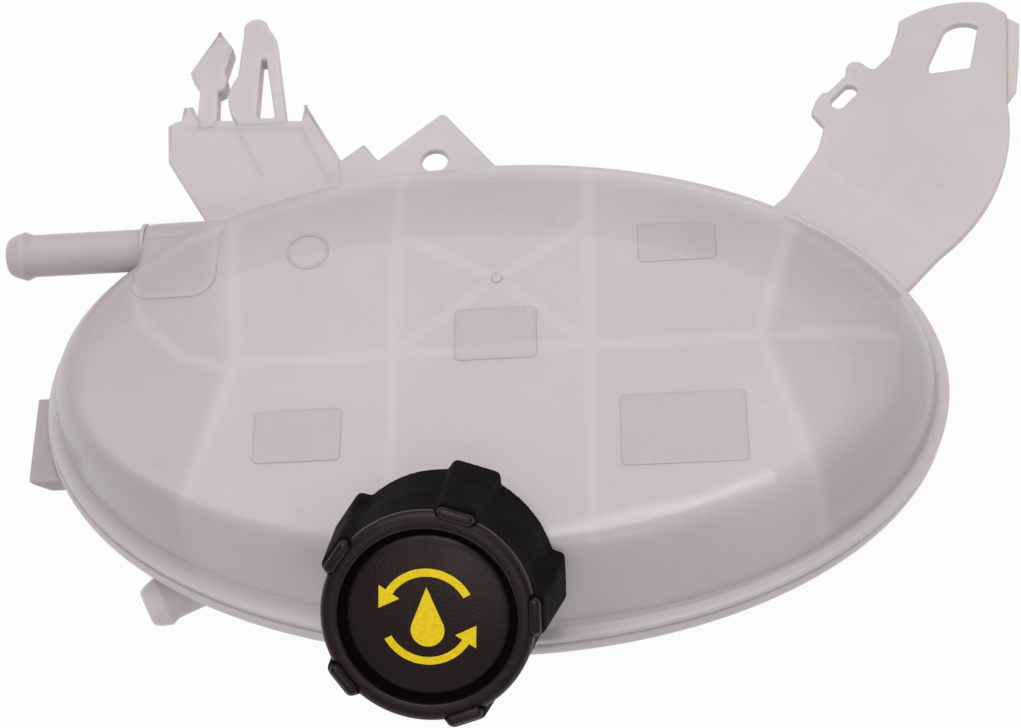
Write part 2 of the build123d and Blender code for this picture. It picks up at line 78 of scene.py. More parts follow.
def finishMesh(obj, sharpDegrees=180):
    # outward normals and smooth shading, hard only over sharpDegrees
    work = bmesh.new()
    work.from_mesh(obj.data)
    bmesh.ops.remove_doubles(work, verts=work.verts, dist=1e-6)
    bmesh.ops.recalc_face_normals(work, faces=work.faces)
    for face in work.faces:
        face.smooth = True
    for edge in work.edges:
        if len(edge.link_faces) == 2 and edge.calc_face_angle(0) > radians(sharpDegrees):
            edge.smooth = False
    work.to_mesh(obj.data)
    work.free()
    return obj


def skin(rings, loop=False):
    # quads between rings of equal count; a ring of one point is a pole
    verts, faces, starts = [], [], []
    for ring in rings:
        starts.append(len(verts))
        verts.extend(tuple(p) for p in ring)
    count = max(len(ring) for ring in rings)
    pairs = [(k, k + 1) for k in range(len(rings) - 1)]
    if loop:
        pairs.append((len(rings) - 1, 0))
    for a, b in pairs:
        for i in range(count):
            j = (i + 1) % count
            near = [starts[a] + i, starts[a] + j] if len(rings[a]) > 1 else [starts[a]]
            far = [starts[b] + j, starts[b] + i] if len(rings[b]) > 1 else [starts[b]]
            faces.append(near + far)
    return verts, faces


def axesOf(axis, side):
    # right, front and up at right angles: up is the axis, right is the side made square to it
    up = Vector(axis).normalized()
    right = Vector(side)
    right = (right - up * right.dot(up)).normalized()
    return right, up.cross(right), up


def frameAt(origin, axis, side):
    # matrix that puts local z on the axis and local x on the side
    matrix = Matrix(axesOf(axis, side)).transposed().to_4x4()
    matrix.translation = Vector(origin)
    return matrix


def fullTurn(count):
    return [2 * pi * k / count for k in range(count)]


def onCircle(x, y, radius, a):
    return x + radius * cos(a), y + radius * sin(a)


def lathe(profile, base, axis, side, count=96, loop=False):
    # profile points are (radius, height along the axis)
    right, front, up = axesOf(axis, side)
    turns = fullTurn(count)
    rings = []
    for radius, height in profile:
        centre = Vector(base) + up * height
        if radius < 1e-6:
            rings.append([centre])
            continue
        rings.append([centre + (right * cos(a) + front * sin(a)) * radius for a in turns])
    return skin(rings, loop)


def softened(points, radius, steps=5):
    # closed outline with an arc at each corner; radius is one for all or one for each
    straight, folded = pi - 0.03, 0.05
    path = [Vector(p) for p in points]
    radii = radius if isinstance(radius, (list, tuple)) else [radius] * len(path)
    out = []
    for i, corner in enumerate(path):
        back = path[i - 1] - corner
        ahead = path[(i + 1) % len(path)] - corner
        room = 0.48 * min(back.length, ahead.length)
        back.normalize()
        ahead.normalize()
        angle = back.angle(ahead)
        if radii[i] <= 0 or angle > straight or angle < folded:
            out.append(tuple(corner))
            continue
        cut = min(radii[i] / tan(angle / 2), room)
        reach = cut * tan(angle / 2)
        centre = corner + (back + ahead).normalized() * (reach / sin(angle / 2))
        start = corner + back * cut - centre
        end = corner + ahead * cut - centre
        first = atan2(start.y, start.x)
        sweep = (atan2(end.y, end.x) - first + pi) % (2 * pi) - pi
        for k in range(steps + 1):
            a = first + sweep * k / steps
            out.append(onCircle(centre.x, centre.y, reach, a))
    return out


def arcThrough(a, b, c, steps=12):
    # points on the circle through a, b and c
    a, b, c = Vector(a), Vector(b), Vector(c)
    d = 2 * (a.x * (b.y - c.y) + b.x * (c.y - a.y) + c.x * (a.y - b.y))
    aa, bb, cc = a.length_squared, b.length_squared, c.length_squared
    ux = (aa * (b.y - c.y) + bb * (c.y - a.y) + cc * (a.y - b.y)) / d
    uy = (aa * (c.x - b.x) + bb * (a.x - c.x) + cc * (b.x - a.x)) / d
    radius = (a - Vector((ux, uy))).length
    first = atan2(a.y - uy, a.x - ux)
    middle = (atan2(b.y - uy, b.x - ux) - first) % (2 * pi)
    last = (atan2(c.y - uy, c.x - ux) - first) % (2 * pi)
    sweep = last if middle < last else last - 2 * pi
    turns = [first + sweep * k / steps for k in range(steps + 1)]
    return [onCircle(ux, uy, radius, t) for t in turns]


def insetLoop(loop, amount):
    # closed outline moved to its left-hand side
    points = np.array(loop, dtype=float)
    before = points - np.roll(points, 1, 0)
    after = np.roll(points, -1, 0) - points
    before /= np.linalg.norm(before, axis=1)[:, None]
    after /= np.linalg.norm(after, axis=1)[:, None]
    left = np.stack([-before[:, 1], before[:, 0]], 1)
    mean = left + np.stack([-after[:, 1], after[:, 0]], 1)
    mean /= np.linalg.norm(mean, axis=1)[:, None]
    stretch = 1 / np.maximum(0.5, (mean * left).sum(1))
    return points + mean * (stretch * amount)[:, None]


def signedArea(loop):
    return sum(a[0] * b[1] - b[0] * a[1] for a, b in zip(loop, loop[1:] + loop[:1])) / 2


def distinct(loop, least=0.05):
    # drops points that lie closer than least
    out = []
    for p in loop:
        if not out or dist(p, out[-1]) > least:
            out.append((float(p[0]), float(p[1])))
    if dist(out[0], out[-1]) <= least:
        out.pop()
    return out


def stepped(loop, most):
    # closed outline with no run longer than most
    out = []
    for a, b in zip(loop, loop[1:] + loop[:1]):
        parts = max(1, ceil(dist(a, b) / most))
        run = (b[0] - a[0], b[1] - a[1])
        out += [(a[0] + run[0] * k / parts, a[1] + run[1] * k / parts) for k in range(parts)]
    return out


def plateMesh(name, loops, top, bottom, edge, lowEdge=None, steps=4):
    # flat plate with rounded edges; the first loop is its outline, the others are holes
    lowEdge = edge if lowEdge is None else lowEdge
    margin = 0.2
    turns = [pi / 2 * k / steps for k in range(steps + 1)]
    work = bmesh.new()
    topEdges, lowEdges = [], []
    for index, loop in enumerate(loops):
        loop = distinct(loop)
        if (signedArea(loop) > 0) != (index == 0):
            loop = loop[::-1]
        levels = [(edge + margin, top)]
        levels += [(edge * (1 - sin(a)), top - edge * (1 - cos(a))) for a in turns]
        levels += [(lowEdge * (1 - cos(a)), bottom + lowEdge * (1 - sin(a))) for a in turns]
        levels += [(lowEdge + margin, bottom)]
        rings = []
        for amount, z in levels:
            inset = insetLoop(loop, amount)
            rings.append([work.verts.new((x * mm, y * mm, z * mm)) for x, y in inset])
        count = len(loop)
        for a, b in zip(rings, rings[1:]):
            for i in range(count):
                j = (i + 1) % count
                work.faces.new((a[i], b[i], b[j], a[j]))
        work.edges.index_update()
        topEdges += [work.edges.get((rings[0][i], rings[0][(i + 1) % count])) for i in range(count)]
        lowEdges += [work.edges.get((rings[-1][i], rings[-1][(i + 1) % count])) for i in range(count)]
    bmesh.ops.triangle_fill(work, edges=topEdges, use_beauty=True, normal=(0, 0, 1))
    bmesh.ops.triangle_fill(work, edges=lowEdges, use_beauty=True, normal=(0, 0, -1))
    mesh = bpy.data.meshes.new(name)
    work.to_mesh(mesh)
    work.free()
    obj = bpy.data.objects.new(name, mesh)
    scene.collection.objects.link(obj)
    return finishMesh(obj, 50)


def fused(name, parts, voxel, rounds):
    # overlapping closed meshes joined into one soft skin
    verts, faces = [], []
    for partVerts, partFaces in parts:
        start = len(verts)
        verts.extend(partVerts)
        faces.extend([[start + i for i in face] for face in partFaces])
    obj = finishMesh(meshObject(name, verts, faces))
    join = obj.modifiers.new("join", "REMESH")
    join.mode = "VOXEL"
    join.voxel_size = voxel * mm
    soften = obj.modifiers.new("soften", "SMOOTH")
    soften.factor = 0.5
    soften.iterations = rounds
    shaped = obj.evaluated_get(bpy.context.evaluated_depsgraph_get())
    mesh = bpy.data.meshes.new_from_object(shaped)
    obj.modifiers.clear()
    obj.data = mesh
    return finishMesh(obj)


def closeFlat(obj, z, facing):
    # one face in place of the many small ones on a hidden flat at height z
    near, level = 0.4 * mm, 0.98
    work = bmesh.new()
    work.from_mesh(obj.data)
    flat = [f for f in work.faces
            if abs(f.calc_center_median().z - z * mm) < near and f.normal.z * facing > level]
    bmesh.ops.delete(work, geom=flat, context="FACES")
    rim = [e for e in work.edges if e.is_boundary]
    bmesh.ops.contextual_create(work, geom=rim)
    bmesh.ops.recalc_face_normals(work, faces=work.faces)
    work.to_mesh(obj.data)
    work.free()
    for polygon in obj.data.polygons:
        polygon.use_smooth = True
    return obj


def moved(parts, matrix):
    # vertices and faces under a matrix
    verts, faces = parts
    return [tuple(matrix @ Vector(v)) for v in verts], faces


def boxParts(low, high):
    # plain box between two corners
    xs, ys, zs = zip(low, high)
    verts = [(x, y, z) for z in zs for y in ys for x in xs]
    faces = [[0, 2, 3, 1], [4, 5, 7, 6], [0, 1, 5, 4], [2, 6, 7, 3], [0, 4, 6, 2], [1, 3, 7, 5]]
    return verts, faces


def asParts(obj):
    # takes an object's mesh as plain lists and removes the object
    verts = [tuple(c / mm for c in v.co) for v in obj.data.vertices]
    faces = [list(p.vertices) for p in obj.data.polygons]
    bpy.data.objects.remove(obj)
    return verts, faces


# Material helpers

def newMaterial(name):
    material = bpy.data.materials.new(name)
    material.use_nodes = True
    tree = material.node_tree
    return material, tree, tree.nodes["Principled BSDF"]


def objectPlace(tree):
    return addNode(tree, "ShaderNodeTexCoord").outputs["Object"]


def addNode(tree, kind, **settings):
    node = tree.nodes.new(kind)
    for key, value in settings.items():
        setattr(node, key, value)
    return node


def feed(tree, node, **values):
    # sets or links inputs by name, where an underscore stands for a space, or by number as in i0
    for key, value in values.items():
        if key[0] == "i" and key[1:].isdigit():
            socket = node.inputs[int(key[1:])]
        else:
            socket = node.inputs[key.replace("_", " ")]
        if isinstance(value, bpy.types.NodeSocket):
            tree.links.new(value, socket)
        else:
            socket.default_value = value
    return node


def maths(tree, operation, a, b=None, c=None, clamp=False):
    node = addNode(tree, "ShaderNodeMath", operation=operation, use_clamp=clamp)
    for index, value in enumerate((a, b, c)):
        if value is not None:
            feed(tree, node, **{"i%d" % index: value})
    return node.outputs[0]


def vectors(tree, operation, a, b=None, scale=None, out=0):
    node = addNode(tree, "ShaderNodeVectorMath", operation=operation)
    feed(tree, node, i0=a)
    if b is not None:
        feed(tree, node, i1=b)
    if scale is not None:
        feed(tree, node, Scale=scale)
    return node.outputs[out]


def ramped(tree, value, low, high, fromOut=0.0, toOut=1.0):
    node = addNode(tree, "ShaderNodeMapRange", interpolation_type="SMOOTHSTEP")
    feed(tree, node, Value=value, From_Min=low, From_Max=high, To_Min=fromOut, To_Max=toOut)
    return node.outputs["Result"]


def blended(tree, factor, a, b, mode="MIX"):
    node = addNode(tree, "ShaderNodeMix", data_type="RGBA", blend_type=mode)
    feed(tree, node, i0=factor, i6=a, i7=b)
    return node.outputs[2]


def noise(tree, place, scale, detail=3.0, rough=0.55):
    node = addNode(tree, "ShaderNodeTexNoise")
    feed(tree, node, Vector=place, Scale=scale, Detail=detail, Roughness=rough)
    return node.outputs["Fac"]


noiseMiddle = (0.3, 0.7)  # where a noise has most of its values


def bumped(tree, height, strength, distance):
    node = addNode(tree, "ShaderNodeBump")
    feed(tree, node, Height=height, Strength=strength, Distance=distance)
    return node.outputs["Normal"]


def socketOf(tree, name, way, kind):
    return tree.interface.new_socket(name=name, in_out=way, socket_type=kind)


# Group: how near a place is to a line seen from above
lineGroup = bpy.data.node_groups.new("ribLine", "ShaderNodeTree")
for socketName in ("Place", "Start", "End"):
    socketOf(lineGroup, socketName, "INPUT", "NodeSocketVector")
socketOf(lineGroup, "Half Width", "INPUT", "NodeSocketFloat")
socketOf(lineGroup, "Mask", "OUTPUT", "NodeSocketFloat")
groupIn = lineGroup.nodes.new("NodeGroupInput")
groupOut = lineGroup.nodes.new("NodeGroupOutput")

plan = (1.0, 1.0, 0.0)  # takes the height away
lineIn = groupIn.outputs
away = vectors(lineGroup, "SUBTRACT", lineIn["Place"], lineIn["Start"])
away = vectors(lineGroup, "MULTIPLY", away, plan)
along = vectors(lineGroup, "SUBTRACT", lineIn["End"], lineIn["Start"])
along = vectors(lineGroup, "MULTIPLY", along, plan)
share = maths(
    lineGroup, "DIVIDE",
    vectors(lineGroup, "DOT_PRODUCT", away, along, out="Value"),
    vectors(lineGroup, "DOT_PRODUCT", along, along, out="Value"),
    clamp=True,
)
foot = vectors(lineGroup, "SCALE", along, scale=share)
gapLength = vectors(lineGroup, "DISTANCE", away, foot, out="Value")
nearness = ramped(lineGroup, gapLength, 0.0, lineIn["Half Width"], 1.0, 0.0)
lineGroup.links.new(nearness, groupOut.inputs["Mask"])

# Group: cloudy tone of moulded translucent plastic
cloudGroup = bpy.data.node_groups.new("mouldTone", "ShaderNodeTree")
socketOf(cloudGroup, "Place", "INPUT", "NodeSocketVector")
socketOf(cloudGroup, "Cloud Scale", "INPUT", "NodeSocketFloat")
socketOf(cloudGroup, "Speck Scale", "INPUT", "NodeSocketFloat")
for socketName in ("Tone", "Specks", "Grain"):
    socketOf(cloudGroup, socketName, "OUTPUT", "NodeSocketFloat")
groupIn = cloudGroup.nodes.new("NodeGroupInput")
groupOut = cloudGroup.nodes.new("NodeGroupOutput")
grainScale, speckFrom, speckTo = 2600.0, 0.74, 0.80
cloudIn = groupIn.outputs
clouds = noise(cloudGroup, cloudIn["Place"], cloudIn["Cloud Scale"], 4.0)
specks = noise(cloudGroup, cloudIn["Place"], cloudIn["Speck Scale"], 1.0)
grains = noise(cloudGroup, cloudIn["Place"], grainScale, 2.0)
cloudGroup.links.new(clouds, groupOut.inputs["Tone"])
cloudGroup.links.new(ramped(cloudGroup, specks, speckFrom, speckTo), groupOut.inputs["Specks"])
cloudGroup.links.new(grains, groupOut.inputs["Grain"])


# Milky tank plastic: the webs inside show through as lighter lines; it also carries painted shade and a
# painted highlight
tankLook = {
    "base": linear(208, 197, 196),
    # painted light: the thin parts below the shell's crest are lighter, standing for light passing through
    # thin plastic
    "bracket": linear(215, 206, 204),
    # painted shade for the lug's top, which lies low under the rim
    "lugShade": linear(182, 172, 171),
    "web": linear(226, 217, 215),
    # painted shade for the ends beyond the outer webs and for the far slope
    "ends": linear(190, 179, 178),
    # painted shade along the folds of the block bracket
    "creaseShade": linear(176, 166, 164),
    "speck": linear(176, 166, 163),
    # painted highlight along the near shoulder
    "shoulderHighlight": linear(236, 229, 226),
    "webWidth": 3.3, "creaseShadeWidth": 1.7, "highlightWidth": 3.0,
    "webShare": 0.26, "creaseShadeShare": 0.22, "highlightShare": 0.5,
    "endShadeShare": 0.5, "farShadeShare": 0.25, "speckShare": 0.15,
    "cloudScale": 22.0, "speckScale": 330.0,
    "cloudTone": (0.965, 1.025), "grainTone": (0.985, 1.015), "gloss": (0.26, 0.33), "bump": 0.02,
    "milk": 0.28, "milkDepth": 4.0, "shine": 0.36,
    "shellFrom": (43.5, 46.0), "lugBelow": (36.2, 37.2), "lugLeft": (-132.0, -128.0),
    "spineY": -4.5, "rightEnd": (0.28, 80.0), "leftEnd": (-0.20, -72.0), "endFade": (-2.0, 6.0),
    "flatMiddle": (-7.0, -14.5), "flatHalf": (108.5, 50.0), "flatEdge": (0.96, 1.04), "farFrom": (0.0, 20.0),
    "webs": [
        ((-25.0, -72.0), (-25.0, 66.0)), ((31.4, -66.0), (31.4, 66.0)), ((-74.0, -5.2), (118.0, -4.6)),
        ((4.8, 19.4), (-25.0, -4.5)), ((4.8, 19.4), (31.4, -4.5)), ((4.8, 19.4), (-25.0, 37.0)),
        ((4.8, 19.4), (31.4, 37.0)), ((-75.0, 45.0), (-71.0, -4.5)), ((-71.0, -4.5), (-84.0, -52.0)),
        ((92.0, 40.0), (80.0, -4.5)), ((80.0, -4.5), (96.0, -60.0)), ((-104.0, 24.0), (-99.8, 10.0)),
        ((-99.8, 10.0), (-88.0, -1.5)), ((-88.0, -1.5), (-72.0, -7.5)), ((102.4, 77.2), (136.4, 46.5)),
        ((114.4, 55.8), (132.0, 75.1)),
    ],
    # lines of the painted highlight on the near shoulder
    "highlightLines": [
        ((19.8, -64.6), (42.0, -59.9)), ((42.0, -59.9), (61.2, -56.5)), ((61.2, -56.5), (80.0, -50.0)),
    ],
    "creaseShadeLines": [
        ((-84.5, 105.7), (-74.8, 85.8)), ((-62.6, 103.5), (-52.6, 81.7)), ((-100.4, 106.0), (-62.6, 103.5)),
    ],
}


def lineMask(tree, place, lines, halfWidth):
    # the strongest of several lines
    mask = None
    for start, end in lines:
        line = addNode(tree, "ShaderNodeGroup", node_tree=lineGroup)
        ends = [(x * mm, y * mm, 0) for x, y in (start, end)]
        feed(tree, line, Place=place, Start=ends[0], End=ends[1], Half_Width=halfWidth * mm)
        near = line.outputs["Mask"]
        mask = near if mask is None else maths(tree, "MAXIMUM", mask, near)
    return mask


def inMetres(values):
    return [v * mm for v in values]


def tankMaterial(name, dim=1.0, milk=tankLook["milk"], shine=tankLook["shine"]):
    look = tankLook
    material, tree, shader = newMaterial(name)
    place = objectPlace(tree)
    axes = feed(tree, addNode(tree, "ShaderNodeSeparateXYZ"), Vector=place).outputs

    def times(a, b):
        return maths(tree, "MULTIPLY", a, b)

    def tinted(colour, mask, share, tone):
        return blended(tree, times(mask, share), colour, tankLook[tone])

    webs = lineMask(tree, place, look["webs"], look["webWidth"])
    creaseShadeLines = lineMask(tree, place, look["creaseShadeLines"], look["creaseShadeWidth"])
    highlightLines = lineMask(tree, place, look["highlightLines"], look["highlightWidth"])
    mould = addNode(tree, "ShaderNodeGroup", node_tree=cloudGroup)
    feed(tree, mould, Place=place, Cloud_Scale=look["cloudScale"], Speck_Scale=look["speckScale"])
    cloud, specks, grain = [mould.outputs[key] for key in ("Tone", "Specks", "Grain")]

    # painted shade: the ends beyond the outer webs are darker, as less light reaches them
    sideways = maths(tree, "ABSOLUTE", maths(tree, "ADD", axes["Y"], -look["spineY"] * mm))
    rightSlope, rightAt = look["rightEnd"]
    leftSlope, leftAt = look["leftEnd"]
    rightEdge = maths(tree, "MULTIPLY_ADD", sideways, rightSlope, rightAt * mm)
    leftEdge = maths(tree, "MULTIPLY_ADD", sideways, leftSlope, leftAt * mm)
    endFade = inMetres(look["endFade"])
    ends = maths(
        tree, "MAXIMUM",
        ramped(tree, maths(tree, "SUBTRACT", axes["X"], rightEdge), *endFade),
        ramped(tree, maths(tree, "SUBTRACT", leftEdge, axes["X"]), *endFade),
    )

    # painted shade too on the far slope outside the crown's flat, which turns away from the light
    spans = []
    for axis, at, half in zip("XY", look["flatMiddle"], look["flatHalf"]):
        span = maths(tree, "DIVIDE", maths(tree, "ADD", axes[axis], -at * mm), half * mm)
        spans.append(times(span, span))
    outside = ramped(tree, maths(tree, "ADD", *spans), *look["flatEdge"])
    farSlopeShade = times(outside, ramped(tree, axes["Y"], *inMetres(look["farFrom"])))

    onShell = ramped(tree, axes["Z"], *inMetres(look["shellFrom"]))
    # painted shade: the lug under the rim is painted darker
    belowRim = ramped(tree, axes["Z"], *inMetres(look["lugBelow"]), 1.0, 0.0)
    lugShadeMask = times(belowRim, ramped(tree, axes["X"], *inMetres(look["lugLeft"]), 1.0, 0.0))
    # painted light: everything below the shell's crest takes the lighter bracket colour
    colour = blended(tree, onShell, look["bracket"], look["base"])
    colour = blended(tree, lugShadeMask, colour, look["lugShade"])
    colour = tinted(colour, ends, times(onShell, look["endShadeShare"]), "ends")
    colour = tinted(colour, farSlopeShade, times(onShell, look["farShadeShare"]), "ends")
    colour = tinted(colour, webs, look["webShare"], "web")
    # painted highlight: lighter lines along the near shoulder
    colour = tinted(colour, highlightLines, times(onShell, look["highlightShare"]), "shoulderHighlight")
    # painted shade: darker lines along the block bracket's folds
    colour = tinted(colour, creaseShadeLines, look["creaseShadeShare"], "creaseShade")
    colour = tinted(colour, specks, look["speckShare"], "speck")

    shade = ramped(tree, cloud, *noiseMiddle, *[tone * dim for tone in look["cloudTone"]])
    shade = times(shade, ramped(tree, grain, *noiseMiddle, *look["grainTone"]))
    grey = addNode(tree, "ShaderNodeCombineColor")
    feed(tree, grey, Red=shade, Green=shade, Blue=shade)
    colour = blended(tree, 1.0, colour, grey.outputs[0], "MULTIPLY")
    gloss = ramped(tree, cloud, *noiseMiddle, *look["gloss"])
    normal = bumped(tree, grain, look["bump"], 0.2 * mm)
    feed(tree, shader, Base_Color=colour, Roughness=gloss, Normal=normal, Specular_IOR_Level=shine)
    feed(tree, shader, Subsurface_Weight=milk, Subsurface_Radius=(1.0, 1.0, 1.0),
         Subsurface_Scale=look["milkDepth"] * mm)
    return material


def grainMaterial(name, colour, dark, rough, scale, strength, shine=0.5, sheenTint=(1.0, 1.0, 1.0, 1.0)):
    # fine-grained moulding, cloudy in its gloss
    material, tree, shader = newMaterial(name)
    place = objectPlace(tree)
    grain = noise(tree, place, scale, 3.0)
    cloud = noise(tree, place, 60.0, 3.0)
    tint = blended(tree, ramped(tree, grain, 0.35, 0.65), dark, colour)
    gloss = ramped(tree, cloud, *noiseMiddle, rough - 0.05, rough + 0.06)
    feed(tree, shader, Base_Color=tint, Roughness=gloss, Normal=bumped(tree, grain, strength, 0.4 * mm))
    feed(tree, shader, Specular_IOR_Level=shine, Specular_Tint=sheenTint)
    return material


def metalMaterial(name, colour, rough, stretch):
    # drawn or turned metal with fine lines
    material, tree, shader = newMaterial(name)
    place = objectPlace(tree)
    mapping = addNode(tree, "ShaderNodeMapping")
    feed(tree, mapping, Vector=place, Scale=stretch)
    lines = noise(tree, mapping.outputs[0], 500.0, 3.0)
    dark = tuple(c * 0.8 for c in colour[:3]) + (1.0,)
    tint = blended(tree, ramped(tree, lines, *noiseMiddle), dark, colour)
    gloss = ramped(tree, lines, *noiseMiddle, rough - 0.06, rough + 0.08)
    normal = bumped(tree, lines, 0.08, 0.2 * mm)
    feed(tree, shader, Base_Color=tint, Metallic=1.0, Roughness=gloss, Normal=normal)
    return material


# share of brightness, milkiness and shine where they differ from the shells
tankPlastic = tankMaterial("tankPlastic")
platePlastic = tankMaterial("platePlastic", dim=0.905, milk=0.0)
# painted light: the pipes and prongs are lighter copies of the tank plastic, evening out their shading
pipePlastic = tankMaterial("pipePlastic", dim=1.07, milk=0.7, shine=0.2)
prongPlastic = tankMaterial("prongPlastic", dim=1.02, milk=0.9, shine=0.2)

capLook = {
    "skirt": linear(15, 10, 12), "skirtDark": linear(10, 6, 8),
    "face": linear(21, 8, 10), "faceDark": linear(14, 5, 6), "warmSheen": (1.0, 0.76, 0.74, 1.0),
    "print": linear(255, 224, 22), "printDark": linear(244, 206, 12),
}
capPlastic = grainMaterial("capPlastic", capLook["skirt"], capLook["skirtDark"], 0.55, 1500.0, 0.3, 0.02)
capFacePlastic = grainMaterial("capFacePlastic", capLook["face"], capLook["faceDark"], 0.37, 1500.0, 0.22,
                               0.42, capLook["warmSheen"])
printYellow = grainMaterial("printYellow", capLook["print"], capLook["printDark"], 0.55, 1200.0, 0.1, 0.3)

insertPlastic = grainMaterial("insertPlastic", linear(62, 62, 65), linear(48, 48, 51), 0.45, 1400.0, 0.15)
sealRubber = grainMaterial("sealRubber", linear(34, 34, 34), linear(24, 24, 24), 0.7, 1800.0, 0.2)
valveSteel = metalMaterial("valveSteel", linear(205, 205, 206), 0.32, (1.0, 1.0, 6.0))
springSteel = metalMaterial("springSteel", linear(190, 191, 195), 0.28, (4.0, 1.0, 1.0))
valveBrass = metalMaterial("valveBrass", linear(205, 172, 98), 0.3, (1.0, 1.0, 8.0))
print("materials made")


def place(obj, body, slotName, material, *nodes):
    obj.data.materials.clear()
    obj.data.materials.append(material)
    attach(obj, body)
    if nodes:
        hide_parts(*nodes)
    return obj


def tankPiece(obj, material=tankPlastic, *nodes):
    return place(obj, "tank", "tank_plastic", material, *nodes)


def capPiece(obj, material, *nodes):
    return place(obj, "cap_cover", "cap_plastic", material, *nodes)


def meshPiece(name, parts, sharpDegrees=60):
    return finishMesh(meshObject(name, *parts), sharpDegrees)


# Tank shells: near, far, left and right side, each with how far its flat lies behind the foot of the wall
# and the share of that which the wall leans in at the turn
shell = {
    "weld": 40.0, "top": 73.0, "foot": (131.5, 79.5), "flange": (135.0, 83.0), "turn": -2.4, "seam": 0.16,
    "crown": ((15.0, 0.4), (44.0, 0.24), (16.0, 0.22), (30.0, 0.05)),
    "back": ((31.5, 0.45), (23.5, 0.45), (25.5, 0.45), (25.5, 0.45)),
    "steps": 48, "voxel": 0.9, "crownRounds": 26, "backRounds": 3,
}

# Weld flange: its profile runs out from the flange's edge and up from the weld plane
rim = {
    "profile": [(-7.0, 0.16), (-0.3, 0.16), (0.0, 0.4), (0.0, 2.5), (-0.15, 2.85), (-0.5, 3.0), (-1.3, 3.0),
                (-2.1, 3.0), (-2.9, 3.0), (-3.4, 3.1), (-3.75, 3.5), (-3.95, 4.0), (-4.4, 4.9), (-7.0, 4.9)],
    "shoulder": 2.0, "flare": 5.0, "flareIn": 1.2, "flareAt": 205.0, "flareFrom": 0.5, "flareOver": 3.9,
    "farDrop": 0.65, "dropAt": 112.0, "lowShift": (-0.8, -0.8), "lowDeep": 1.4,
}


def turned(x, y, angle):
    return x * cos(angle) - y * sin(angle), x * sin(angle) + y * cos(angle)


def oval(rx, ry, shift, z, count=240):
    ring = []
    for a in fullTurn(count):
        x, y = turned(rx * cos(a), ry * sin(a), radians(shell["turn"]))
        ring.append((x + shift[0], y + shift[1], z))
    return ring


def section(sides, t):
    # half lengths and middle of a shell's ellipse, from the weld plane at 0 to its flat at 1
    near, far, left, right = [reach * (2 * t * (1 - t) * turn + t * t) for reach, turn in sides]
    rx = shell["foot"][0] - (left + right) / 2
    ry = shell["foot"][1] - (near + far) / 2
    return rx, ry, ((left - right) / 2, (near - far) / 2)


def climb(t):
    return 1 - (1 - t) ** 2


def domeRings(sides, rise):
    # from the middle of the flat over the shoulder to the weld plane
    weld, steps = shell["weld"], shell["steps"]
    sign = 1 if rise > 0 else -1
    rx, ry, shift = section(sides, 1)
    rings = [[shift + (weld + rise,)]]
    rings += [oval(rx * s, ry * s, shift, weld + rise) for s in (0.3, 0.6, 0.85)]
    lowest = 1 - sqrt(1 - shell["seam"] / abs(rise))
    for k in range(steps + 1):
        t = 1 + (lowest - 1) * k / steps
        rx, ry, shift = section(sides, t)
        rings.append(oval(rx, ry, shift, weld + rise * climb(t)))
    rings.append([(0, 0, weld + sign * shell["seam"])])
    return rings


def lobe(degree, middle):
    return max(0.0, cos(radians(degree - middle)))


def rimParts(sign):
    # flange of one half shell; the upper one runs softly into the wall at the left and lies low at the far
    # side, the lower one stands proud at the left
    rx, ry = shell["flange"]
    count = 360  # a point for each degree
    rings = []
    for grow, lift in rim["profile"]:
        upper = lift > rim["shoulder"]
        if sign < 0:
            z = shell["weld"] - lift - rim["lowDeep"] * upper
            rings.append(oval(rx + grow, ry + grow, rim["lowShift"], z, count))
            continue
        inward = min(1.0, max(0.0, (-grow - rim["flareFrom"]) / rim["flareOver"])) ** 2 if upper else 0.0
        ring = []
        for k, (x, y, z) in enumerate(oval(rx + grow, ry + grow, (0, 0), shell["weld"] + lift, count)):
            soft = lobe(k, rim["flareAt"]) ** 2 * inward
            shrink = 1 - soft * rim["flareIn"] / hypot(x, y)
            drop = rim["farDrop"] * lobe(k, rim["dropAt"]) ** 8 * (lift - shell["seam"])
            ring.append((x * shrink, y * shrink, z + soft * rim["flare"] - drop))
        rings.append(ring)
    return skin(rings, True)


def domeHeight(x, y):
    # height of the upper shell's skin at a place inside its foot
    low, high = 0.0, 1.0
    for _ in range(40):
        t = (low + high) / 2
        rx, ry, shift = section(shell["crown"], t)
        u, v = turned(x - shift[0], y - shift[1], radians(-shell["turn"]))
        if (u / rx) ** 2 + (v / ry) ** 2 > 1:
            high = t
        else:
            low = t
    return shell["weld"] + (shell["top"] - shell["weld"]) * climb(low)


def surfacePlate(name, loop, surface, rise, edge, sink=0.8):
    # low plate that follows a curved skin, with rings drawn in from its outline to the middle
    longestRun = 1.5
    loop = distinct(stepped(loop, longestRun))
    if signedArea(loop) < 0:
        loop = loop[::-1]
    cx, cy = np.mean(np.array(loop), 0)
    rings = [[(cx, cy, surface(cx, cy) - sink)]]
    rounding = [(0.0, -sink), (0.0, rise - edge), (0.1 * edge, rise - 0.6 * edge),
                (0.4 * edge, rise - 0.2 * edge), (edge, rise)]
    for amount, lift in rounding:
        rings.append([(x, y, surface(x, y) + lift) for x, y in insetLoop(loop, amount)])
    inner = insetLoop(loop, edge)
    for s in (0.9, 0.8, 0.65, 0.5, 0.35, 0.2):
        points = [(cx + (x - cx) * s, cy + (y - cy) * s) for x, y in inner]
        rings.append([(x, y, surface(x, y) + rise) for x, y in points])
    rings.append([(cx, cy, surface(cx, cy) + rise)])
    return meshPiece(name, skin(rings))


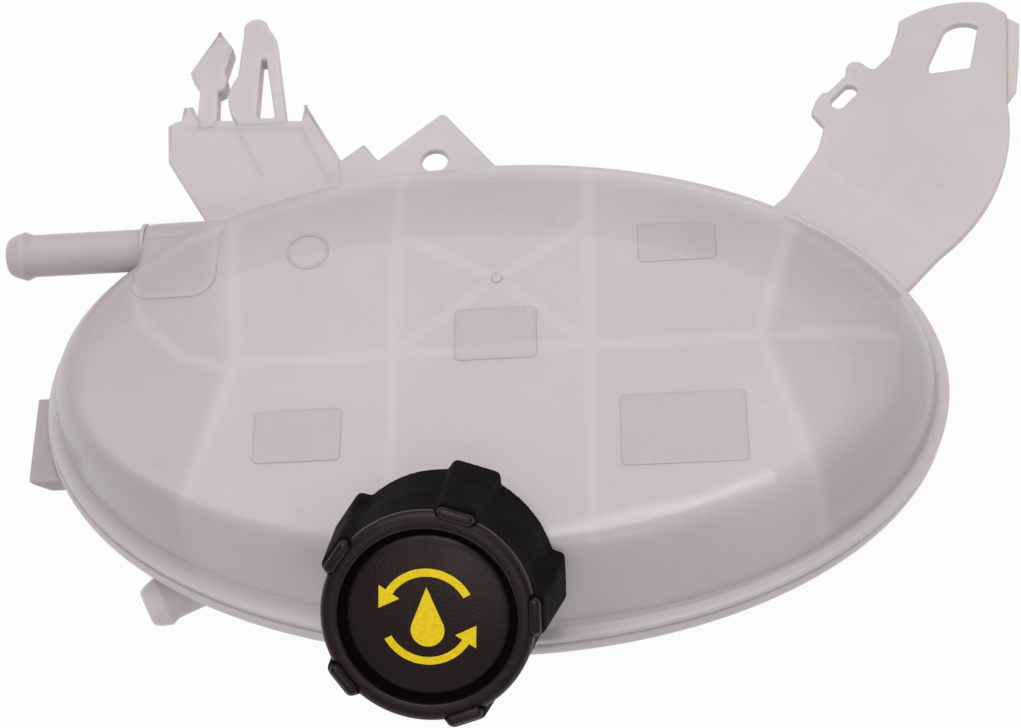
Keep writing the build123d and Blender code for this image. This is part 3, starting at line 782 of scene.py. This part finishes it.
# Inlet pipe, its boss and the pad over both
pipe = {
    "y": 47.079, "z": 57.0, "radius": 6.5, "bore": 4.3, "bead": 7.5, "nose": 5.6,
    "length": 42.5, "beadLength": 7.5, "ramp": 2.0, "depth": 34.0, "seat": 1.0,
}
boss = {
    "left": -105.329, "right": -81.329, "near": 26.58, "far": 55.08, "low": 44.0, "top": 65.0,
    "edge": 2.5, "corners": [4.5, 4.5, 0.6, 0.6], "round": 8.0, "endRound": 1.2,
    "lowNear": 38.0, "lowInset": 0.4,
}
pad = {
    "left": boss["left"] + 0.3, "right": -78.6, "near": 18.2, "far": 51.0, "corners": [7.0, 8.0, 1.5, 1.5],
    "fadeFrom": 43.0, "fadeDepth": 1.2, "rise": 0.4, "edge": 0.8, "sink": 3.0,
}


def rectangle(left, right, near, far):
    return [(left, near), (right, near), (right, far), (left, far)]


bossBack = pipe["y"] + boss["edge"]
bossPlan = softened(rectangle(boss["left"], boss["right"], boss["near"], bossBack), boss["corners"], 8)
bossBox = asParts(plateMesh("bossBox", [bossPlan], boss["top"], boss["low"], boss["edge"], 0.3))
bossLow = boxParts((boss["left"] + boss["lowInset"], boss["lowNear"], boss["low"]),
                   (boss["right"], boss["far"], pipe["z"]))
bossWidth = boss["right"] - boss["left"]
bossR, bossEnd = boss["round"], boss["endRound"]
bossTube = lathe(
    [(0, 0), (bossR - bossEnd, 0), (bossR - 0.35, 0.35), (bossR, bossEnd),
     (bossR, bossWidth - bossEnd), (bossR - bossEnd, bossWidth), (0, bossWidth)],
    (boss["left"], pipe["y"], pipe["z"]), (1, 0, 0), (0, 1, 0), 96)


def spigotProfile(length, depth, collar):
    # from the blind end of the bore over the nose and bead back to the root
    radius, bore, bead, nose = [pipe[key] for key in ("radius", "bore", "bead", "nose")]
    start = length - pipe["beadLength"]
    crest = start + pipe["ramp"]
    noseEnd, bulge, steps = 0.45, 0.42, 8
    outline = [(nose - 0.55, length), (nose, length - noseEnd)]
    for k in range(1, steps + 1):
        h = length - noseEnd + (crest + 0.6 - length + noseEnd) * k / steps
        swell = bulge * sin(pi * k / steps) * (1 - k / steps)
        outline.append((nose + (bead - nose) * k / steps + swell, h))
    outline += [(bead, crest + 0.2), (bead - 0.25, crest - 0.4),
                (radius + 0.2, start + 0.35), (radius, start - 0.2)]
    root = [(radius, collar + 1.6), (radius + 0.25, collar + 0.8), (radius + 0.8, collar + 0.25),
            (radius + 1.6, collar), (radius + 1.6, 0), (0, 0)]
    hollow = [(0, length - depth), (bore, length - depth), (bore, length - 0.5), (bore + 0.35, length)]
    return hollow + outline + root


dome = skin(domeRings(shell["crown"], shell["top"] - shell["weld"]))
upperBody = fused("upperBody", [dome, bossBox, bossLow, bossTube], shell["voxel"], shell["crownRounds"])
closeFlat(upperBody, shell["weld"] + shell["seam"], -1)
tankPiece(upperBody, tankPlastic, "upper_shell")
print("upper body:", len(upperBody.data.polygons), "faces")
tankPiece(meshPiece("upperRim", rimParts(1)))

upperMesh = upperBody.data
upperTree = BVHTree.FromPolygons([v.co for v in upperMesh.vertices], [p.vertices for p in upperMesh.polygons])


def bossSkin(x, y):
    # height of the upper body's own skin; the pad sinks into it at the far side
    above = 200.0
    hit = upperTree.ray_cast(Vector((x * mm, y * mm, above * mm)), Vector((0, 0, -1)))[0]
    fade = min(1.0, max(0.0, (y - pad["fadeFrom"]) / (pad["far"] - pad["fadeFrom"])))
    return hit.z / mm - pad["fadeDepth"] * fade * fade * (3 - 2 * fade)


padLoop = softened(rectangle(pad["left"], pad["right"], pad["near"], pad["far"]), pad["corners"], 10)
tankPiece(surfacePlate("bossPad", padLoop, bossSkin, pad["rise"], pad["edge"], pad["sink"]))

pipeRoot = (boss["left"] + pipe["seat"], pipe["y"], pipe["z"])
pipeProfile = spigotProfile(pipe["length"] + pipe["seat"], pipe["depth"], pipe["seat"])
tankPiece(meshPiece("inletPipe", lathe(pipeProfile, pipeRoot, (-1, 0, 0), (0, 1, 0), 96)), pipePlastic)

# Filler neck with its screw thread, under the cap
neck = {
    "axis": (-0.0361156, -0.6668553, 0.7443115), "side": (0.9985367, -0.0540788, 0.0),
    "mouth": (-10.2543, -92.4071, 88.4117), "radius": 22.5, "bore": 19.5, "length": 37.5, "sink": 2.0,
    "pitch": 4.0, "turns": 1.8, "thread": 1.5, "threadTop": -4.5, "threadSteps": 150, "runOut": 12,
}
neckAt = (neck["mouth"], neck["axis"], neck["side"])
neckFrame = frameAt(*neckAt)
neckDepth = neck["length"] + neck["sink"]
neckProfile = [(neck["bore"], -neckDepth), (neck["radius"], -neckDepth), (neck["radius"], -0.5),
               (neck["radius"] - 0.5, 0), (neck["bore"] + 0.4, 0), (neck["bore"], -0.4)]
tankPiece(meshPiece("fillerNeck", lathe(neckProfile, *neckAt, 96, True), 40))

threadRings = []
for k in range(neck["threadSteps"] + 1):
    part = k / neck["threadSteps"]
    angle = -2 * pi * neck["turns"] * part
    height = neck["threadTop"] - neck["pitch"] * neck["turns"] * part
    tall = neck["thread"] * min(1.0, part * neck["runOut"], (1 - part) * neck["runOut"]) + 0.02
    ring = []
    for out, up in ((-0.3, -0.95), (tall, -0.3), (tall, 0.3), (-0.3, 0.95)):
        ring.append(onCircle(0, 0, neck["radius"] + out, angle) + (height + up,))
    threadRings.append(ring)
threadVerts, threadFaces = skin(threadRings)
threadFaces += [[0, 1, 2, 3], [len(threadVerts) - k for k in (1, 2, 3, 4)]]
tankPiece(meshPiece("neckThread", moved((threadVerts, threadFaces), neckFrame), 40))

# Lower shell with lug and outlet
lug = {"tip": -141.0, "root": -112.0, "far": 8.5, "near": -21.5, "top": 36.0, "bottom": 30.0, "slope": 6.0}
lugSide = [(lug["tip"], lug["top"]), (lug["root"], lug["top"]), (lug["root"], lug["bottom"]),
           (lug["tip"] + lug["slope"], lug["bottom"])]
lugVerts = [(x, y, z) for y in (lug["near"], lug["far"]) for x, z in lugSide]
lugFaces = [[0, 1, 2, 3], [7, 6, 5, 4], [0, 4, 5, 1], [1, 5, 6, 2], [2, 6, 7, 3], [3, 7, 4, 0]]
bowl = skin(domeRings(shell["back"], -shell["weld"]))
lowerBody = fused("lowerBody", [bowl, (lugVerts, lugFaces)], shell["voxel"], shell["backRounds"])
closeFlat(lowerBody, shell["weld"] - shell["seam"], 1)
tankPiece(lowerBody, tankPlastic, "lower_shell")
print("lower body:", len(lowerBody.data.polygons), "faces")
tankPiece(meshPiece("lowerRim", rimParts(-1)))

outlet = {"tip": (-104.918, -56.807, 20.0), "heading": 205.0, "length": 28.0, "depth": 20.0, "collar": 0.5}
heading = (cos(radians(outlet["heading"])), sin(radians(outlet["heading"])), 0.0)
outletRoot = tuple(t - h * outlet["length"] for t, h in zip(outlet["tip"], heading))
outletProfile = spigotProfile(outlet["length"], outlet["depth"], outlet["collar"])
tankPiece(meshPiece("outletSpigot", lathe(outletProfile, outletRoot, heading, (0, 0, 1), 96)), pipePlastic)

# Brackets round the flange: outlines are steps from three roots on its edge
bracket = {
    "armRoot": (109.931, 48.127), "blockRoot": (-78.016, 67.674), "earRoot": (-18.772, 82.227),
    "top": 39.8, "bottom": 37.0, "edge": 0.9, "lowEdge": 0.4, "flapTop": 38.5, "flapBottom": 36.7,
    "prongTop": 39.9, "prongBottom": 33.5, "ribDepth": 7.0, "ribWidth": 2.4, "ribSink": 0.6,
    "earHole": (-18.772, 88.027), "earRadius": 4.2,
}
loopSlot = {"centre": (2.6, 56.0), "length": 10.5, "width": 4.6, "turn": 47.0}
plateSizes = (bracket["top"], bracket["bottom"], bracket["edge"], bracket["lowEdge"])


def fromRoot(name, *steps):
    x, y = bracket[name]
    return [(x + dx, y + dy) for dx, dy in steps]


armEdge = fromRoot("armRoot", (-30.0, 2.0), (-21.4, 16.0), (-18.2, 18.5), (-7.1, 35.9), (-4.6, 44.7),
                   (-8.3, 50.5), (-6.7, 54.6), (-4.3, 58.3), (-2.5, 58.2), (3.6, 64.6), (4.2, 68.5),
                   (6.1, 70.1), (9.0, 69.6), (12.5, 65.9), (18.4, 72.0), (21.5, 81.3))
armTop = arcThrough(*fromRoot("armRoot", (22.4, 85.4), (35.0, 90.9), (51.3, 91.0)))
armCorner = fromRoot("armRoot", (57.2, 86.0))
armSide = arcThrough(*fromRoot("armRoot", (53.5, 50.0), (47.8, 20.0), (26.9, -6.9)))
armFoot = fromRoot("armRoot", (2.0, -34.0))
armLoop = softened(armEdge + armTop + armCorner + armSide + armFoot, 1.6, 4)
slotSide = fromRoot("armRoot", (47.3, 81.3), (43.2, 64.8), (30.1, 63.4), (30.4, 67.0))
slotArch = arcThrough(*fromRoot("armRoot", (36.6, 80.3), (42.0, 83.0), (47.3, 81.3)))[:-1]
slotLoop = softened(slotSide + slotArch, 1.0, 4)
slotTurn = radians(loopSlot["turn"])
slotHalf = (loopSlot["length"] - loopSlot["width"]) / 2
smallSlot = []
for a in fullTurn(32):
    u = loopSlot["width"] / 2 * cos(a) + (slotHalf if cos(a) > 0 else -slotHalf)
    x, y = turned(u, loopSlot["width"] / 2 * sin(a), slotTurn)
    smallSlot.append((x + loopSlot["centre"][0], y + loopSlot["centre"][1]))
tankPiece(plateMesh("armPlate", [armLoop, slotLoop, fromRoot("armRoot", *smallSlot)], *plateSizes))

flapLoop = softened(fromRoot("armRoot", (55.0, 86.5), (60.9, 82.4), (58.8, 66.0), (56.9, 55.4), (52.5, 49.0),
                             (50.0, 52.0)), 1.2, 4)
tankPiece(plateMesh("armFlap", [flapLoop], bracket["flapTop"], bracket["flapBottom"], 0.5))

blockEdge = fromRoot("blockRoot", (-6.0, -12.0), (-13.3, 0.7), (-27.8, 26.1), (-29.0, 40.3), (-26.7, 41.8),
                     (-24.8, 42.3), (-24.3, 47.6), (-21.2, 47.8), (-18.8, 42.0), (15.2, 39.4), (16.2, 46.5),
                     (28.8, 22.8), (30.0, 8.0), (24.0, -6.0))
blockLoop = softened(blockEdge, [0, 1.4, 1.4, 0.6, 0.6, 0.5, 0.5, 0.6, 0.6, 0.6, 0.25, 1.0, 1.0, 0], 4)
tankPiece(plateMesh("blockPlate", [blockLoop], *plateSizes))

earX, earY = bracket["earHole"]
earHole = [onCircle(earX, earY, bracket["earRadius"], a) for a in fullTurn(48)]
earEdge = fromRoot("earRoot", (2.5, 25.0), (20.6, 1.2), (20.6, -20.0), (-36.6, -20.0), (-36.6, 6.0),
                   (-30.6, 8.0), (-23.0, 14.0), (-18.4, 7.3))
earLoop = softened(earEdge, [1.8, 1.2, 0, 0, 0, 0.6, 0.5, 0.5], 6)
tankPiece(plateMesh("earPlate", [earLoop, earHole], bracket["top"] - 0.15, bracket["bottom"] + 0.1, 0.8, 0.4))

prongHeights = (bracket["prongTop"], bracket["prongBottom"])
barbEdge = fromRoot("blockRoot", (-19.4, 38.0), (-19.4, 55.8), (-23.2, 61.9), (-14.2, 79.1), (-9.3, 71.4),
                    (-11.4, 61.8), (-10.4, 58.0), (-11.2, 54.6), (-13.2, 53.6), (-12.7, 38.0))
barbLoop = softened(barbEdge, [0, 0.6, 0.8, 0.3, 0.5, 0.5, 0.8, 0.6, 0.5, 0], 4)
tankPiece(plateMesh("leftProng", [barbLoop], *prongHeights, 0.9, 0.6), prongPlastic)

splitEdge = fromRoot("blockRoot", (-6.7, 38.0))
splitEdge += arcThrough(*fromRoot("blockRoot", (-6.7, 41.0), (-9.6, 50.0), (-6.9, 59.4)))
splitEdge += arcThrough(*fromRoot("blockRoot", (-6.0, 78.0), (-2.2, 83.3), (2.0, 80.0)))
splitEdge += fromRoot("blockRoot", (5.1, 74.2), (10.5, 38.0))
splitHole = softened(fromRoot("blockRoot", (0.3, 41.5), (0.6, 66.0), (2.2, 66.0), (6.4, 41.2)), 0.6, 4)
splitLoop = softened(splitEdge, 1.0, 4)
tankPiece(plateMesh("rightProng", [splitLoop, splitHole], *prongHeights, 0.8, 0.6), prongPlastic)

ribLines = [
    fromRoot("armRoot", (-4.0, 27.0), (23.0, 2.0)), fromRoot("armRoot", (-6.0, 0.0), (33.0, 54.0)),
    fromRoot("blockRoot", (-6.5, 38.0), (6.0, 4.0)), fromRoot("blockRoot", (-24.0, 30.0), (12.0, 30.0)),
]
ribTop, ribBottom = bracket["bottom"] + bracket["ribSink"], bracket["bottom"] - bracket["ribDepth"]
for index, line in enumerate(ribLines):
    start, end = Vector(line[0]), Vector(line[1])
    run = end - start
    across = Vector((-run.y, run.x)).normalized() * bracket["ribWidth"] / 2
    loop = softened([tuple(p) for p in (start - across, end - across, end + across, start + across)], 0.4, 3)
    tankPiece(plateMesh("bracketRib%d" % index, [loop], ribTop, ribBottom, 0.3))
print("brackets made")

# Bare plates and marks on the crown; a plate is its left, right, near and far side
marks = {
    "plates": [(-7.4, 16.3, -8.2, 9.1), (-64.4, -39.3, -38.9, -22.0), (39.6, 74.9, -44.8, -22.1),
               (46.1, 68.9, 22.4, 36.6)],
    "corner": 1.6, "plateRise": 0.24, "gate": (4.8, 19.4), "gateRadius": 1.7,
    "dial": (-51.6, 32.5), "dialRadius": 6.4, "slopeReach": 3,
}
for index, sides in enumerate(marks["plates"]):
    loop = softened(rectangle(*sides), marks["corner"], 5)
    tag = surfacePlate("crownPlate%d" % index, loop, domeHeight, marks["plateRise"], marks["plateRise"])
    tankPiece(tag, platePlastic)

gateR = marks["gateRadius"]
gateProfile = [(0, 0.45), (1.0, 0.5), (gateR - 0.3, 0.4), (gateR, 0.1), (gateR + 0.1, -0.4), (0, -0.4)]
gateAt = marks["gate"] + (shell["top"],)
tankPiece(meshPiece("gateMark", lathe(gateProfile, gateAt, (0, 0, 1), (1, 0, 0), 40)))

dialX, dialY = marks["dial"]
dialR = marks["dialRadius"]
reach = marks["slopeReach"]  # the skin's slope is taken this far to each side
slopeX = (domeHeight(dialX + reach, dialY) - domeHeight(dialX - reach, dialY)) / (2 * reach)
slopeY = (domeHeight(dialX, dialY + reach) - domeHeight(dialX, dialY - reach)) / (2 * reach)
dialProfile = [(dialR - 0.9, -0.3), (dialR - 0.8, 0.12), (dialR - 0.55, 0.2), (dialR - 0.25, 0.2),
               (dialR, 0.08), (dialR + 0.1, -0.3)]
dialAt = (dialX, dialY, domeHeight(dialX, dialY))
dialRing = lathe(dialProfile, dialAt, (-slopeX, -slopeY, 1), (1, 0, 0), 72, True)
tankPiece(meshPiece("dateDial", dialRing), platePlastic)

# Screw cap, with heights along the neck's axis from the neck's mouth
cap = {
    "front": 11.0, "height": 39.5, "rim": 28.1, "skirt": 30.2, "inner": 25.5, "roof": 5.2, "rimInner": 23.4,
    "groove": 3.3, "disc": 21.9, "discFlat": 20.0, "discDrop": 0.7, "dish": 1.15, "lugs": 5, "turn": 1.1,
    "backReach": 32.9, "frontReach": 30.3, "backWidth": 17.2, "frontWidth": 11.9, "foot": 26.6, "flank": 72.0,
    "lugEnds": [(0.0, 1.2), (0.015, 0.5), (0.04, 0.0), (0.5, 0.0), (0.93, 0.0), (0.975, 0.35), (1.0, 1.1)],
    "proud": 0.7, "tipLength": 10.0, "tipRadius": 1.7, "voxel": 0.6, "rounds": 3,
}
front, capRim, rimInner = cap["front"], cap["rim"], cap["rimInner"]
low = front - cap["height"]
skirtProfile = [(0, cap["roof"]), (cap["inner"], cap["roof"]), (cap["inner"], low), (cap["skirt"], low),
                (capRim - 0.1, front - 2.0), (capRim - 1.0, front - 2.9), (0, front - 2.9)]
skirtParts = lathe(skirtProfile, (0, 0, 0), (0, 0, 1), (1, 0, 0), 160)
lugTurns = [cap["turn"] + 360 / cap["lugs"] * k for k in range(cap["lugs"])]


def lugSection(width, reach, z):
    # wedge across the rim: wide at the foot, narrow at its crest
    depth = reach - cap["foot"]
    narrow = width - 2 * depth / tan(radians(cap["flank"]))
    outline = [(cap["foot"], -width / 2), (reach, -narrow / 2), (reach, narrow / 2), (cap["foot"], width / 2)]
    return [(x, y, z) for x, y in softened(outline, [0.5, 1.7, 1.7, 0.5], 5)]


def lugParts(turn):
    # sections from back to front, drawn in at both ends
    rings = []
    for share, shrink in cap["lugEnds"]:
        width = cap["backWidth"] + (cap["frontWidth"] - cap["backWidth"]) * share
        reach = cap["backReach"] + (cap["frontReach"] - cap["backReach"]) * share
        z = low + (cap["height"] + cap["proud"]) * share
        rings.append(lugSection(width - 2 * shrink, reach - shrink, z))
    poles = [[tuple(np.mean(np.array(ring), 0))] for ring in (rings[0], rings[-1])]
    return moved(skin(poles[:1] + rings + poles[1:]), Matrix.Rotation(radians(turn), 4, "Z"))


capParts = [moved(shape, neckFrame) for shape in [skirtParts] + [lugParts(turn) for turn in lugTurns]]
capShell = fused("capShell", capParts, cap["voxel"], cap["rounds"])
capPiece(capShell, capPlastic, "cap_cover")
print("cap shell:", len(capShell.data.polygons), "faces")

discTop = front - cap["discDrop"]
edgeTop = discTop - cap["dish"]
disc, grooveFloor, faceBack = cap["disc"], front - cap["groove"], front - 4.0


def discDip(r):
    return cap["dish"] * (r / cap["discFlat"]) ** 3


faceProfile = [(0, discTop)]
faceProfile += [(r, discTop - discDip(r)) for r in (4.0, 8.0, 11.0, 13.0, 15.0, 16.5, 18.0, 19.2)]
faceProfile += [(cap["discFlat"], edgeTop), (disc - 1.2, edgeTop - 0.2), (disc - 0.65, edgeTop - 0.5),
                (disc - 0.25, edgeTop - 0.85), (disc, grooveFloor), (rimInner, grooveFloor),
                (rimInner, front - 0.6), (rimInner + 0.25, front - 0.15), (rimInner + 0.8, front),
                (capRim - 2.2, front), (capRim - 1.2, front - 0.2), (capRim - 0.4, front - 0.8),
                (capRim, front - 1.7), (capRim + 0.05, front - 2.6), (capRim - 0.8, front - 3.2),
                (capRim - 1.2, faceBack), (0, faceBack)]
capPiece(meshPiece("capFace", lathe(faceProfile, *neckAt, 192)), capFacePlastic)

# rounded bar across each lug's front end
tipR, tipStraight = cap["tipRadius"], cap["tipLength"] / 2 - cap["tipRadius"]
tipTurns = [pi / 2 * k / 6 for k in range(7)]
tipProfile = [(tipR * sin(a), -tipStraight - tipR * cos(a)) for a in tipTurns]
tipProfile += [(r, -h) for r, h in tipProfile[::-1]]
tipOut, tipUp = cap["frontReach"] - 1.4 * tipR, front + cap["proud"] - 0.5 * tipR
for index, turn in enumerate(lugTurns):
    a = radians(turn)
    tipAt = onCircle(0, 0, tipOut, a) + (tipUp,)
    tipBar = lathe(tipProfile, tipAt, (-sin(a), cos(a), 0.0), (0, 0, 1), 32)
    capPiece(meshPiece("lugTip%d" % index, moved(tipBar, neckFrame)), capFacePlastic)

# Printed sign on the cap: a drop between two turning arrows
sign = {
    "dropRadius": 4.4, "dropTip": 8.0, "dropLow": -3.5, "ring": 11.8, "ringWidth": 2.1, "start": 28.0,
    "sweep": 118.0, "head": 3.2, "headLength": 5.2, "lift": 0.1, "sink": 0.5, "edge": 0.05, "lowEdge": 0.02,
}


def signPlate(name, loop):
    # thin plate that follows the disc's dip
    heights = (discTop + sign["lift"], discTop - sign["sink"])
    verts, faces = asParts(plateMesh(name, [loop], *heights, sign["edge"], sign["lowEdge"], 2))
    verts = [(x, y, z - discDip(hypot(x, y))) for x, y, z in verts]
    return capPiece(meshObject(name, *moved((verts, faces), neckFrame)), printYellow)


dropTurn = asin(sign["dropRadius"] / (sign["dropTip"] - sign["dropLow"]))
dropLoop = []
for k in range(41):
    a = -pi - dropTurn + (pi + 2 * dropTurn) * k / 40
    dropLoop.append(onCircle(0, sign["dropLow"], sign["dropRadius"], a))
dropLoop.append((0.0, sign["dropTip"]))
signPlate("signDrop", dropLoop)


def onRing(a, out, ahead=0.0):
    # place at angle a, out from the arrows' ring and ahead along it
    r = sign["ring"] + out
    return r * cos(a) - sin(a) * ahead, r * sin(a) + cos(a) * ahead


for index in range(2):
    begin = sign["start"] + 180 * index
    turns = [radians(begin + sign["sweep"] * k / 24) for k in range(25)]
    outer = [onRing(a, sign["ringWidth"] / 2) for a in turns]
    inner = [onRing(a, -sign["ringWidth"] / 2) for a in turns]
    tips = [onRing(turns[-1], out, ahead)
            for out, ahead in ((sign["head"], 0.0), (0.0, sign["headLength"]), (-sign["head"], 0.0))]
    signPlate("signArrow%d" % index, outer + tips + inner[::-1])
print("cap made")

# Valve pieces carried over from the frame
carried = {
    "valve_body": insertPlastic, "seat_ring": insertPlastic,
    "neck_gasket": sealRubber, "body_o_ring": sealRubber,
    "pressure_seal": sealRubber, "vacuum_seal": sealRubber,
    "pressure_plate": valveSteel, "vacuum_clip": valveSteel,
    "pressure_spring": springSteel, "vacuum_spring": springSteel, "vacuum_poppet": valveBrass,
}
for nodeName, material in carried.items():
    node = frame["nodes"][nodeName]
    node.data.materials.clear()
    node.data.materials.append(material)

# Floor and light, in metres; a lamp is its place, its target, its size and its power
studio = {
    "floorSize": 6.0, "floorDrop": 0.2, "white": 0.94, "ambient": 0.35,
    "lamps": {
        "keyLight": ((-0.15, 0.2, 1.1), (0, 0, 0.05), (1.2, 1.0), 5.8),
        "fillLight": ((0.9, 0.3, 0.7), (0, 0, 0.05), (0.8, 0.8), 0.8),
        "frontLight": ((0.05, -0.86, 0.9), (0.0, -0.08, 0.06), (0.7, 0.25), 1.4),
        "stripLight": ((0.12, -0.06, 0.9), (0.06, -0.06, 0.05), (0.35, 0.08), 0.75),
    },
}
half = studio["floorSize"] / 2 / mm
floorLoop = [(x, y, -studio["floorDrop"]) for x, y in rectangle(-half, half, -half, half)]
floor = meshObject("floor", floorLoop, [[0, 1, 2, 3]])
floorMaterial, tree, shader = newMaterial("floorPaper")
feed(tree, shader, Base_Color=linear(246, 246, 246), Roughness=0.9)
glow = addNode(tree, "ShaderNodeEmission")
feed(tree, glow, Color=(1.0, 1.0, 1.0, 1.0), Strength=1.0)
rays = addNode(tree, "ShaderNodeLightPath")
seen = maths(tree, "MAXIMUM", rays.outputs["Is Camera Ray"], rays.outputs["Is Glossy Ray"])
seen = maths(tree, "MAXIMUM", seen, rays.outputs["Is Transmission Ray"])
mixer = addNode(tree, "ShaderNodeMixShader")
feed(tree, mixer, i0=maths(tree, "MULTIPLY", seen, studio["white"]), i1=shader.outputs[0], i2=glow.outputs[0])
tree.links.new(mixer.outputs[0], tree.nodes["Material Output"].inputs["Surface"])
floor.data.materials.append(floorMaterial)

for name, (at, target, size, power) in studio["lamps"].items():
    lamp = bpy.data.lights.new(name, "AREA")
    lamp.shape = "RECTANGLE"
    lamp.size, lamp.size_y = size
    lamp.energy = power
    lampObject = bpy.data.objects.new(name, lamp)
    lampObject.location = at
    lampObject.rotation_euler = (Vector(target) - Vector(at)).to_track_quat("-Z", "Y").to_euler()
    scene.collection.objects.link(lampObject)
world = scene.world or bpy.data.worlds.new("world")
scene.world = world
world.use_nodes = True
backdrop = world.node_tree.nodes.get("Background") or world.node_tree.nodes.new("ShaderNodeBackground")
backdrop.inputs["Color"].default_value = (1.0, 1.0, 1.0, 1.0)
backdrop.inputs["Strength"].default_value = studio["ambient"]
scene.view_settings.view_transform = "Standard"

# Camera at the photograph's angle
view = {
    "eye": (62.0, -356.2, 638.7), "right": (0.995, 0.0, -0.094), "back": (0.080, -0.520, 0.850),
    "lens": 82.33, "sensor": 36.0, "nearest": 0.02,
}
camera = bpy.data.cameras.new("camera")
camera.lens = view["lens"]
camera.sensor_width = view["sensor"]
camera.sensor_fit = "HORIZONTAL"
camera.clip_start = view["nearest"]
cameraObject = bpy.data.objects.new("camera", camera)
cameraObject.matrix_world = frameAt(Vector(view["eye"]) * mm, view["back"], view["right"])
scene.collection.objects.link(cameraObject)
scene.camera = cameraObject

print("scene made")
